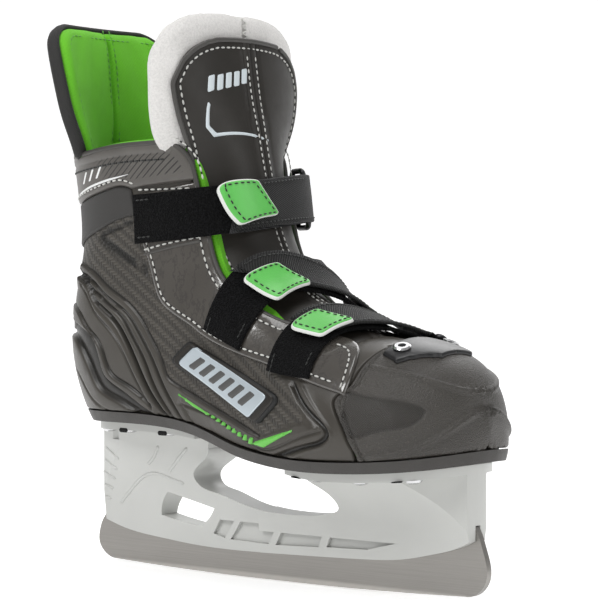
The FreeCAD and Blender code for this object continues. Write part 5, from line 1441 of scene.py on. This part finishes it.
def skin(name, patch, edge, low, high, material, soft, spacing, relief=None, lines=(), body=None, slot=None,
         replaces=(), seam=None):
    """Closed skin on any patch inside an outline in its coordinates."""
    ab, faces = triangulate(edge, spacing, lines)
    points, all_faces, gap = closed_sheet([patch], ab, faces, low, high, soft, relief, None)
    return add_mesh(name, points, all_faces, material, body, slot, replaces,
                    {"place": weave_place(points), "edge": gap})


def along_tongue(*pieces):
    """Pieces with their placement baked into their points."""
    for piece in pieces:
        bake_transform(piece)


FACE_TOP = TONGUE_TOP - FACE_DROP
CENTRE = TONGUE_WIDTH / 2


def felt_relief(points):
    """Puffy felt with a sewn channel up its middle and soft hollows."""
    z, y = points[:, 2], points[:, 1]
    total = np.where(z > 150, 1.3 * np.clip((np.abs(y) - 30) / 8, 0, 1), .3)
    total += np.where(z > FACE_TOP - 8, -1.2 * np.clip(1 - np.abs(y) / 1.6, 0, 1) ** 2, 0)
    total += .3 * np.sin(z * .31 + y * .17) * np.cos(y * .23 - z * .11)
    return total


felt_edge = tongue_outline(46, TONGUE_TOP, .42, np.zeros(331))
mid_a = np.arange(120, 165, 1.0)
mid_lines = [np.stack([mid_a, np.full(len(mid_a), CENTRE + d)], 1) for d in (0, .6, -.6, 1.3, -1.3, 2, -2)]
felt_pad = skin("tongue_felt_pad", TONGUE_FORM, felt_edge, -TONGUE_DEPTH, -FACE_SKIN - .2, FELT, 3.4, 2.4,
                felt_relief, mid_lines, slot="felt", replaces=["tongue_felt", "tongue_top_felt"])

CREASES = [(116, 1.0), (121, .5), (104, .7)]


def face_relief(points):
    """Tongue face: bound edge, twin seam up the middle and a few flex creases."""
    z, y = points[:, 2], points[:, 1]
    total = -1.1 * np.clip(1 - np.abs(y) / 1.0, 0, 1)
    for seam_y in (4.2, -4.2):
        total -= .5 * np.clip(1 - np.abs(y - seam_y) / .6, 0, 1)
    total += .45 * np.clip(1 - (np.abs(y) / 4.2) ** 2, 0, 1)
    for height, depth in CREASES:
        total -= depth * .5 * np.exp(-((z - height - 2 * np.sin(y * .1)) / 1.6) ** 2)
    return total


face_edge = tongue_outline(46 - FELT_RIM, FACE_TOP, .46, TONGUE_FORM.face_side)
full_a = np.arange(2, 158, 1.2)
seam_lines = [np.stack([full_a, np.full(len(full_a), CENTRE + d)], 1)
              for d in (0, .5, -.5, 1, -1, 2, -2, 3.7, -3.7, 4.2, -4.2, 4.8, -4.8)]
face = skin("tongue_face_leather", TONGUE_FORM, face_edge, -FACE_SKIN, 0, LEATHER, 1.0, 2.4, face_relief,
            seam_lines,
            slot="tongue", replaces=["tongue_face", "tongue_top_face"])
along_tongue(felt_pad, face)


def shrink_loop(loop, by):
    """Closed flat outline moved inwards."""
    way = unit(np.roll(loop, -1, axis=0) - np.roll(loop, 1, axis=0))
    aside = np.stack([-way[:, 1], way[:, 0]], 1)
    turn = np.sum(loop[:, 0] * np.roll(loop[:, 1], -1) - np.roll(loop[:, 0], -1) * loop[:, 1])
    return loop + (aside if turn > 0 else -aside) * by


def opened(loop, low):
    """Open line that is left of a closed outline above a distance up."""
    loop = loop[loop[:, 0] > low]
    start = int(np.argmax(np.linalg.norm(np.diff(loop, axis=0), axis=1))) + 1
    return np.roll(loop, -start, axis=0)


rim_loop = opened(shrink_loop(face_edge, .9), 4)
rim_points, rim_normals = path_on(TONGUE_FORM, rim_loop, .15)
piping = tube("tongue_piping", rim_points, 1.0, PIPING, None, "tongue", normals=rim_normals, flat=.75)
row_loop = opened(shrink_loop(face_edge, 3.9), 6)
row_points, row_normals = path_on(TONGUE_FORM, row_loop, .0)
along_tongue(piping, *stitches("tongue_edge_stitch", row_points, row_normals, None, "tongue", pitch=3.0,
                               length=2.1))
seam_top = TONGUE_FORM.front([(0, FACE_TOP - 2.5)])[0][0]
seam_a = full_a[(full_a > 8) & (full_a < seam_top)]
for tag, offset in (("left", -2.6), ("right", 2.6)):
    seam_points, seam_normals = path_on(TONGUE_FORM,
                                        np.stack([seam_a, np.full(len(seam_a), CENTRE + offset)], 1), .22)
    along_tongue(*stitches("tongue_seam_stitch_" + tag, seam_points, seam_normals, None, "tongue", pitch=2.7,
                           length=1.8, radius=.38))
zig_a = np.arange(TONGUE_FORM.front([(0, FACE_TOP + 1.6)])[0][0],
                  TONGUE_FORM.front([(0, TONGUE_TOP + .6)])[0][0], .25)
zig_b = CENTRE + 1.5 * (2 * np.abs(((zig_a / 2.6) % 1) * 2 - 1) - 1)
zig_points, zig_normals = path_on(TONGUE_FORM, np.stack([zig_a, zig_b], 1), -2.0)
zigzag = tube("felt_zigzag_thread", zig_points, .32, WHITE_THREAD, None, "felt", normals=zig_normals, sides=6)
along_tongue(zigzag)

# slanted bars, and a thin line placed as in the photo, on the tongue face
for k in range(5):
    a, b = TONGUE_FORM.front([(-26 + 4.6 * k, 197 + 1.1 * k)])[0]
    bar = rounded([(a, b), (a + .5, b + 3.4), (a + 6.4, b + 4.6), (a + 5.9, b + 1.2)], .6)
    along_tongue(skin("tongue_bar_%d" % (k + 1), TONGUE_FORM, bar, -.1, .3, PRINT, .3, 1.5, slot="tongue"))
low_line = TONGUE_FORM.front([(-26, 193.5), (-24.6, 193), (-24.8, 184), (-22, 181.4), (4, 179.4), (4, 178.6),
                              (-23, 179.6), (-26.4, 183)])
along_tongue(skin("tongue_line", TONGUE_FORM, rounded(low_line, .4), -.1, .3, PRINT, .25, .9, slot="tongue"))

# ---------------------------------------------------------------- tendon guard
GUARD = [(168, -91.9, 31.5, 18), (180, -92.0, 33.5, 15.5), (191, -92.2, 36, 12.5), (203, -92.8, 36.5, 9),
         (218, -94.5, 36, 5.5), (226.5, -97.0, 32.5, 4), (232, -99.3, 26, 2.5)]
GUARD_HIGH, GUARD_WIDE = 64.0, 80.0


class Guard(Patch):
    """Inner face of the tendon guard: a up, b across from the lateral side."""

    def __init__(self):
        share = np.linspace(-1, 1, 161)
        columns = np.array([np.stack([mid + sag * share ** 2, half * share, np.full(161, float(z))], 1)
                            for z, mid, half, sag in GUARD])
        at = np.linspace(168, 168 + GUARD_HIGH, 134)
        super().__init__(cubic([row[0] for row in GUARD], columns, at), GUARD_HIGH / 133, GUARD_WIDE / 160,
                         lambda p: np.tile([1.0, 0, 0], p.shape[:2] + (1,)))


GUARD_FORM = Guard()


def guard_edge(inset, bottom, corner):
    """Outline of the guard, moved in at the sides and top."""
    return rounded([(bottom, inset), (GUARD_HIGH - inset, inset), (GUARD_HIGH - inset, GUARD_WIDE - inset),
                    (bottom, GUARD_WIDE - inset)], corner, 1.0)


def guard_relief(points):
    """Two puffy panels with a deeply sunken seam between them."""
    y, z = np.abs(points[:, 1]), points[:, 2]
    total = 1.3 * np.clip(y / 10, 0, 1) ** .6 - 1.6 * np.clip(1 - y / 2.2, 0, 1) ** 2
    total += .35 * np.sin(z * .17 + y * .21) * np.sin(y * .29 + 1)
    return total


guard_mid = [np.stack([np.arange(2, 64, 1.0), np.full(62, GUARD_WIDE / 2 + d)], 1)
             for d in (0, .6, -.6, 1.3, -1.3, 2.1, -2.1, 3.2, -3.2)]
liner = skin("guard_pad_lining", GUARD_FORM, guard_edge(3.0, 1.0, 7), -4.4, 0, GREEN, 4.2, 2.0,
             guard_relief, guard_mid,
             slot="lining", replaces=["guard_liner"])
back_skin = skin("guard_outer_skin", GUARD_FORM, guard_edge(1.6, 6.8, 7), -7.2, -4.2, GUARD_CLOTH, 1.0, 2.4,
                 slot="cover", replaces=["guard_shell"])
rim_ab = opened(guard_edge(1.9, 6.0, 7), 6.6)
edge_points, edge_normals = path_on(GUARD_FORM, rim_ab, -4.4)
binding = tube("guard_binding", edge_points, 1.7, GUARD_CLOTH, None, "cover", normals=edge_normals, flat=1.7)
seam_ab = np.stack([np.arange(5, 61, .6), np.full(94, GUARD_WIDE / 2)], 1)
pieces = [liner, back_skin, binding]
for offset in (-2.6, 2.6):
    seam_points, seam_normals = path_on(GUARD_FORM, seam_ab + [0, offset], .45)
    pieces += stitches("guard_seam_stitch_%s" % ("a" if offset < 0 else "b"), seam_points, seam_normals, None,
                       "lining", GREEN_THREAD, pitch=2.6, length=1.9, radius=.33, hole_shade=False)
row_ab = opened(guard_edge(7.4, 8.0, 6), 8.4)
row_points, row_normals = path_on(GUARD_FORM, row_ab, 1.0)
pieces += stitches("guard_edge_stitch", row_points, row_normals, None, "lining", GREEN_THREAD, pitch=2.8,
                   length=2.0,
                   radius=.33, hole_shade=False)
for piece in pieces:
    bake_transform(piece)

# ---------------------------------------------------------------- straps
# lateral end, crown, inner fold; bulge of the inner side; tab corners; y where the flap ends
STRAPS = {
    "ankle": ((-47.3, -35, 146.6), (-6, 0, 152.8), (-12.84, 32, 155.75), 4.0,
              [(-10.8, -30.2, 160.4), (-3.2, -12.6, 162.3), (0.1, -2.9, 147.7), (-2.7, -23.9, 143.1)], -21),
    "instep": ((-2, -34.5, 98), (8, 0, 121), (12.56, 36, 108.24), 8.0,
               [(2.4, -30.5, 122.6), (7.2, -13.8, 128.5), (17.7, -2.2, 120.1), (17.6, -24.9, 114.0)], -21),
    "toe": ((32.5, -37, 85), (37.5, 0, 104), (47.06, 31, 97.12), 4.0,
            [(27.2, -32.2, 103.8), (30.4, -17.7, 110.6), (46.5, -9.2, 106.7), (42.3, -28.7, 100.7)], -21),
}
PILE_SKEW = {"ankle": 0.0, "instep": -.28, "toe": -.38}
BAR_LEVEL, BASE_LEVEL, FLAP_LEVEL, EYE = 3.8, 2.55, 5.05, 1.95
STRAP_WIDTH, STRAP_THICK = 20.0, 1.4
TAB_LOW, TAB_HIGH = 5.85, 7.45


def form_tree(bulge):
    """Ray tracing tree of the boot form."""
    points, faces = [], []
    for side in BOTH:
        grid = Boot(side, bulge=bulge if side == MEDIAL else 0).points[::4, ::4]
        rows, cols = grid.shape[:2]
        start = len(points)
        points += grid.reshape(-1, 3).tolist()
        faces += [(start + i * cols + j, start + i * cols + j + 1, start + (i + 1) * cols + j + 1,
                   start + (i + 1) * cols + j) for i in range(rows - 1) for j in range(cols - 1)]
    return BVHTree.FromPolygons(points, faces)


TREES = {bulge: form_tree(bulge) for bulge in (4.0, 8.0)}


class Strap:
    """Strap centre surface: s along from the lateral end, t across."""

    def __init__(self, lateral, crown, fold, bulge):
        lateral, crown, fold = (np.array(p, float) for p in (lateral, crown, fold))
        plane = np.cross(crown - lateral, fold - crown)
        plane = unit(plane)
        if plane[2] + plane[0] < 0:
            plane = -plane
        chord = unit(fold - lateral)
        out = np.cross(chord, plane)
        if out @ (crown - lateral) < 0:
            out = -out
        self.plane, self.out, self.chord = plane, out, chord
        centre = (lateral + fold) / 2 - out * 6
        angle = lambda p: math.atan2((p - centre) @ out, (p - centre) @ chord)
        first, last = angle(lateral), angle(fold)
        if first < 0:
            first += 2 * math.pi
        self.t = np.concatenate([[-10, -9.85, -9.5, -9], np.linspace(-8, 8, 15), [9, 9.5, 9.85, 10]])
        turns = np.linspace(first + .2, last - .3, 280)
        tree = TREES[bulge]
        rows = []
        for t in self.t:
            line = []
            for turn in turns:
                way = chord * math.cos(turn) + out * math.sin(turn)
                hit = tree.ray_cast(Vector(centre + plane * t), Vector(way))[0]
                line.append(hit)
            rows.append(np.array(line))
        grid = np.array(rows).transpose(1, 0, 2)
        run = lengths(grid[:, len(self.t) // 2])
        self.s = np.arange(0, run[-1], .6)
        grid = np.stack([np.stack([np.interp(self.s, run, grid[:, j, i]) for i in range(3)], 1)
                         for j in range(len(self.t))], 1)
        for _ in range(6):
            grid[1:-1] = grid[1:-1] * .5 + (grid[:-2] + grid[2:]) * .25
        wide = np.linalg.norm(np.diff(grid, axis=1), axis=2).sum(1) / STRAP_WIDTH
        for k, share in enumerate(np.maximum(wide, 1)):
            grid[k] = np.stack([np.interp(self.t / share, self.t, grid[k, :, i]) for i in range(3)], 1)
        self.points = grid
        normal = unit(np.cross(np.gradient(grid, axis=0), np.gradient(grid, self.t, axis=1)))
        self.normals = normal * np.sign((normal @ out).mean())
        middle = grid[:, len(self.t) // 2]
        gap = np.linalg.norm(middle + self.normals[:, len(self.t) // 2] * BAR_LEVEL - fold, axis=1)
        self.fold = float(self.s[int(np.argmin(gap))])
        self.start = float(self.s[int(np.argmin(np.linalg.norm(middle - lateral, axis=1)))])

    def at_y(self, y):
        """Distance along where the middle line has this y."""
        return float(np.interp(y, self.points[:, len(self.t) // 2, 1], self.s))


def strip(name, strap, profile, thick, material, body, slot, replaces=(), skew=0.0):
    """Flat strap along a profile of (distance along, level), with soft edges and a slanted first end."""
    profile = spaced(profile, .7)
    way = unit(np.gradient(profile, axis=0))
    aside = np.stack([-way[:, 1], way[:, 0]], 1)
    share = np.sqrt(np.clip(1 - np.clip((np.abs(strap.t) - 9.3) / .7, 0, 1) ** 2, .06, 1))
    slant = skew * np.clip(1 - (profile[:, 0] - profile[0, 0]) / 16, 0, 1)
    layers = []
    for sign in (1, -1):
        rows = []
        for j, part in enumerate(share):
            moved_profile = profile + aside * (sign * thick / 2 * part)
            s = moved_profile[:, 0] + slant * strap.t[j]
            p = np.stack([np.interp(s, strap.s, strap.points[:, j, i]) for i in range(3)], 1)
            n = unit(np.stack([np.interp(s, strap.s, strap.normals[:, j, i]) for i in range(3)], 1))
            rows.append(p + n * moved_profile[:, 1, None])
        layers.append(np.stack(rows, 1))
    top, bottom = layers
    count, cols = top.shape[:2]
    points = np.concatenate([top.reshape(-1, 3), bottom.reshape(-1, 3)])
    total = count * cols
    faces = []
    for i in range(count - 1):
        for j in range(cols - 1):
            a = i * cols + j
            faces.append((a, a + 1, a + cols + 1, a + cols))
            faces.append((total + a, total + a + cols, total + a + cols + 1, total + a + 1))
        a, b = i * cols, i * cols + cols - 1
        faces.append((a, a + cols, total + a + cols, total + a))
        faces.append((b, total + b, total + b + cols, b + cols))
    for j in range(cols - 1):
        a, b = j, (count - 1) * cols + j
        faces.append((a, total + a, total + a + 1, a + 1))
        faces.append((b, b + 1, total + b + 1, total + b))
    run = lengths(profile)
    place = np.stack(np.broadcast_arrays(run[:, None], strap.t[None, :], np.zeros((count, cols))),
                     -1).reshape(-1, 3)
    gap = np.broadcast_to(10 - np.abs(strap.t)[None, :], (count, cols)).reshape(-1)
    return add_mesh(name, points, faces, material, body, slot, replaces,
                    {"place": np.concatenate([place, place]), "edge": np.concatenate([gap, gap])})


def nearest_ab(patch, point):
    """Surface coordinates nearest a point in space."""
    gap = ((patch.points - np.asarray(point, float)) ** 2).sum(2)
    i, j = np.unravel_index(int(np.argmin(gap)), gap.shape)
    return i * patch.step[0], j * patch.step[1]


def strap_stitch(name, strap, s_range, t, level, body, slot, material, **options):
    """Stitch row along a strap at a distance across it."""
    s = np.arange(s_range[0], s_range[1], .6)
    rows = []
    for values in (strap.points, strap.normals):
        column = np.stack([np.stack([np.interp(s, strap.s, values[:, j, i]) for i in range(3)], 1)
                           for j in range(len(strap.t))], 1)
        rows.append(np.stack([[np.interp(t, strap.t, column[k, :, i]) for i in range(3)]
                              for k in range(len(s))]))
    points, normals = rows[0], unit(rows[1])
    return stitches(name, points + normals * level, normals, body, slot, material, **options)


for name, (lateral, crown, fold, bulge, tab_corners, flap_y) in STRAPS.items():
    strap = Strap(lateral, crown, fold, bulge)
    turn = np.linspace(-math.pi / 2, math.pi / 2, 12)
    loop = np.stack([strap.fold + EYE * np.cos(turn), BAR_LEVEL + EYE * np.sin(turn)], 1)
    base_line = np.concatenate([[(strap.start, BASE_LEVEL), (strap.fold - 6, BASE_LEVEL),
                                 (strap.fold - 3, BASE_LEVEL - .3)], loop,
                                 [(strap.fold - .5, BAR_LEVEL + EYE)]])
    strip(name + "_strap_pile", strap, base_line, STRAP_THICK, LOOP, "boot", "loop", [name + "_strap_base"],
          PILE_SKEW[name])
    end = strap.at_y(flap_y)
    flap_line = [(end, FLAP_LEVEL), (strap.fold - 4, FLAP_LEVEL), (strap.fold - .9, FLAP_LEVEL + .5)]
    body = name + "_flap"
    strip(name + "_strap_webbing", strap, flap_line, STRAP_THICK, WEBBING, body, "webbing",
          [name + "_strap_flap"])
    for tag, t in (("low", -8.3), ("high", 8.3)):
        strap_stitch("%s_webbing_stitch_%s" % (name, tag), strap, (end + 1, strap.fold - 3), t,
                     FLAP_LEVEL + STRAP_THICK / 2, body, "webbing", BLACK_THREAD, pitch=2.3, length=1.7,
                     radius=.3)
    for tag, t in (("low", -7.6), ("high", 7.6)):
        strap_stitch("%s_end_stitch_%s" % (name, tag), strap, (strap.start + 1.5, strap.start + 9), t,
                     BASE_LEVEL + STRAP_THICK / 2, "boot", "loop", BLACK_THREAD, pitch=2.3, length=1.7,
                     radius=.3)
    patch = BOOT[LATERAL]
    corners_ab = [nearest_ab(patch, p) for p in tab_corners]
    core_edge = rounded(corners_ab, 3.2, .6)
    panel(name + "_tab_core", core_edge, [LATERAL], TAB_LOW, TAB_HIGH - .45, TAB_CORE, body, "tab", soft=.5,
          spacing=1.6, replaces=[name + "_strap_tab"])
    panel(name + "_tab_face", shrink_loop(core_edge, .55), [LATERAL], TAB_HIGH - .75, TAB_HIGH, TAB, body,
          "tab",
          soft=.7, spacing=1.4)
    row = shrink_loop(core_edge, 2.1)
    row = spaced(np.concatenate([row, row[:1]]), .5)
    row_points, row_normals = path_on(patch, row, TAB_HIGH)
    stitches(name + "_tab_stitch", row_points, row_normals, body, "tab", BLACK_THREAD, pitch=2.7, length=1.75,
             radius=.36, hole_shade=False)

# ---------------------------------------------------------------- toe plate
PLATE = [(65.5, -21), (73.5, -23), (84, -9), (84, 0), (65.5, 0)]


def plan_ab(x, y):
    """Surface coordinates of a place seen from above."""
    patch = BOOT[LATERAL]
    grid = patch.points[:, 130:]
    gap = (grid[:, :, 0] - x) ** 2 + (grid[:, :, 1] - y) ** 2
    i, j = np.unravel_index(int(np.argmin(gap)), gap.shape)
    return i * patch.step[0], (j + 130) * patch.step[1]


crown_run = np.stack([np.linspace(plan_ab(84, .5)[0], plan_ab(65.5, .5)[0], 20), np.full(20, Boot.GIRTH)], 1)
side_part = np.array([plan_ab(x, y) for x, y in spaced(PLATE[:4], 1.0)])
rear_part = np.array([plan_ab(x, y) for x, y in spaced([(65.5, 0), (65.5, -21)], 1.0)])
plate_edge = np.concatenate([side_part[:-1], crown_run, rear_part[1:-1]])
panel("toe_plate_gloss", plate_edge, BOTH, CAP_TOP + .1, CAP_TOP + 1.5, GLOSS, slot="trim",
      replaces=["toe_plate"], soft=1.0, seam="crown", spacing=1.5)


# ---------------------------------------------------------------- CAD parts kept as they are
KEPT = {
    "holder": HOLDER, "runner": STEEL, "runner_bolts": CHROME, "front_rivets": CHROME, "rear_rivets": CHROME,
    "rivet_washers": CHROME, "outsole": OUTSOLE, "midsole_board": BOARD, "footbed": FOOTBED, "lining": GREEN,
    "ankle_cushions": GREEN, "toe_eyelets": CHROME,
}
for name in STRAPS:
    KEPT[name + "_strap_ring"] = DARK_METAL
    KEPT[name + "_strap_keeper"] = LOOP
    KEPT[name + "_strap_hook"] = HOOK
for node, material in KEPT.items():
    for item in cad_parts[node].material_slots:
        item.material = material

# ---------------------------------------------------------------- moulded lines of the holder, and painted shade in its rivet recesses
HOLDER_LINES = {
    "low": [(-84.1, 26.1), (-76, 33.2), (-68.9, 38.4), (-62.5, 40.5), (-53.9, 39), (-46, 37)],
    "front": [(-64.7, 44.1), (-60.7, 47.2), (-56.8, 52.7)],
    "back": [(-53.3, 41.5), (-48.6, 45.8), (-40.9, 52.6)],
}
for k in range(5):
    x, z = -91.5 - .9 * k, 49.9 - 5.2 * k
    HOLDER_LINES["rib_%d" % (k + 1)] = [(x, z), (x + 5.6 - .3 * k, z - 2 + .3 * k),
                                        (x + 11 - 1.2 * k, z - 4.4 + .8 * k)]
RECESSES = [(-68.3, 58.4), (-46, 57), (29, 44.6), (51.5, 43.6), (77.2, 45.2)]
holder_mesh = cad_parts["holder"].data
holder_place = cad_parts["holder"].matrix_world
holder_tree = BVHTree.FromPolygons([holder_place @ v.co for v in holder_mesh.vertices],
                                   [tuple(face.vertices) for face in holder_mesh.polygons])


def on_holder(line, side):
    """Points and normals on the holder's side from side-view points."""
    points, normals = [], []
    for x, z in line:
        start = Vector((x, side * 60, z)) * MM
        hit, normal, _, _ = holder_tree.ray_cast(start, Vector((0, -side, 0)))
        if hit is not None and abs(hit.y) > .003:
            points.append(tuple(hit / MM))
            normals.append(tuple(normal))
    return np.array(points), np.array(normals)


for word, side in (("lateral", -1), ("medial", 1)):
    for key, line in HOLDER_LINES.items():
        points, normals = on_holder(smooth(line, .8), side)
        if len(points) > 4:
            tube("holder_line_%s_%s" % (key, word), points, .7, HOLDER, "boot", "holder", normals=normals,
                 flat=.6)

# painted shade: flat dark ovals on the holder where its rivet recesses are
for word, side in (("lateral", -1), ("medial", 1)):
    for k, (x, z) in enumerate(RECESSES, 1):
        hit, normal, _, _ = holder_tree.find_nearest(Vector((x, side * 28, z - 1)) * MM)
        flat_way = Vector((1, 0, 0)) - normal * normal.x
        line = [tuple(hit / MM + flat_way * d) for d in np.linspace(-2.6, 2.6, 12)]
        tube("rivet_recess_shade_%d_%s" % (k, word), line, .95, HOLE_SHADE, "boot", "holder", flat=.35,
             normals=np.tile(tuple(normal), (12, 1)))

# ---------------------------------------------------------------- floor, light and camera
TARGET = Vector((.009098, 0, .114010))
AZIMUTH, ELEVATION = math.radians(38), math.radians(0.9937)
DISTANCE = .9
back = Vector((math.sin(AZIMUTH) * math.cos(ELEVATION), -math.cos(AZIMUTH) * math.cos(ELEVATION),
               math.sin(ELEVATION)))


def backdrop():
    """Pale floor that curves up into a wall behind the object, square to the camera."""
    ahead = Vector((-back.x, -back.y, 0)).normalized()
    aside = Vector((-ahead.y, ahead.x, 0))
    profile = [(-3.0, 0.0), (1.6, 0.0)]
    profile += [(1.6 + .8 * math.sin(t), .8 - .8 * math.cos(t)) for t in np.linspace(.1, math.pi / 2, 14)]
    profile += [(2.4, 3.5)]
    points = [(ahead * d + aside * s + Vector((0, 0, h - .0004))) / MM for d, h in profile for s in (-4, 4)]
    faces = [(2 * i, 2 * i + 1, 2 * i + 3, 2 * i + 2) for i in range(len(profile) - 1)]
    obj = add_mesh("floor", np.array([tuple(p) for p in points]), faces, FLOOR)


def area_light(name, where, power, size, color=(1, 1, 1)):
    """Soft square light aimed at the object."""
    data = bpy.data.lights.new(name, "AREA")
    data.energy, data.size, data.color = power, size, color
    obj = bpy.data.objects.new(name, data)
    bpy.context.scene.collection.objects.link(obj)
    obj.location = where
    obj.rotation_euler = (TARGET - Vector(where)).to_track_quat("-Z", "Y").to_euler()


floor_paint = Paint("floor_white", (.86, .86, .86), .6)
floor_place = floor_paint.place()
floor_tone = floor_paint.noise(floor_place, 400, 2)
floor_paint.set("Base Color", floor_paint.mix(floor_tone, (.85, .85, .85), (.87, .87, .87)))
floor_paint.set("Emission Color", (1.0, 1.0, 1.0))
floor_paint.set("Emission Strength", .45)
FLOOR = floor_paint.material
backdrop()


def studio(right, ahead, up):
    """Place given to the camera's right, towards the camera and up."""
    aside = Vector((math.cos(AZIMUTH), math.sin(AZIMUTH), 0))
    near = Vector((back.x, back.y, 0)).normalized()
    return TARGET + aside * right + near * ahead + Vector((0, 0, up))


area_light("key", studio(-.9, .9, 1.2), 15, .7)
area_light("fill", studio(1.3, .9, .5), 4.5, .8)
area_light("top", studio(.1, .1, 1.6), 9, .9)
area_light("rim", studio(.5, -1.2, 1.0), 5, .9)

world = bpy.data.worlds.new("studio")
bpy.context.scene.world = world
world.use_nodes = True
world.node_tree.nodes["Background"].inputs[0].default_value = (1, 1, 1, 1)
world.node_tree.nodes["Background"].inputs[1].default_value = .30
bpy.context.scene.view_settings.view_transform = "Standard"

camera_data = bpy.data.cameras.new("camera")
camera_data.sensor_width, camera_data.lens = 36.0, 133.9
camera_data.clip_start, camera_data.clip_end = .05, 20
camera = bpy.data.objects.new("camera", camera_data)
bpy.context.scene.collection.objects.link(camera)
camera.location = TARGET + back * DISTANCE
camera.rotation_euler = back.to_track_quat("Z", "Y").to_euler()
bpy.context.scene.camera = camera
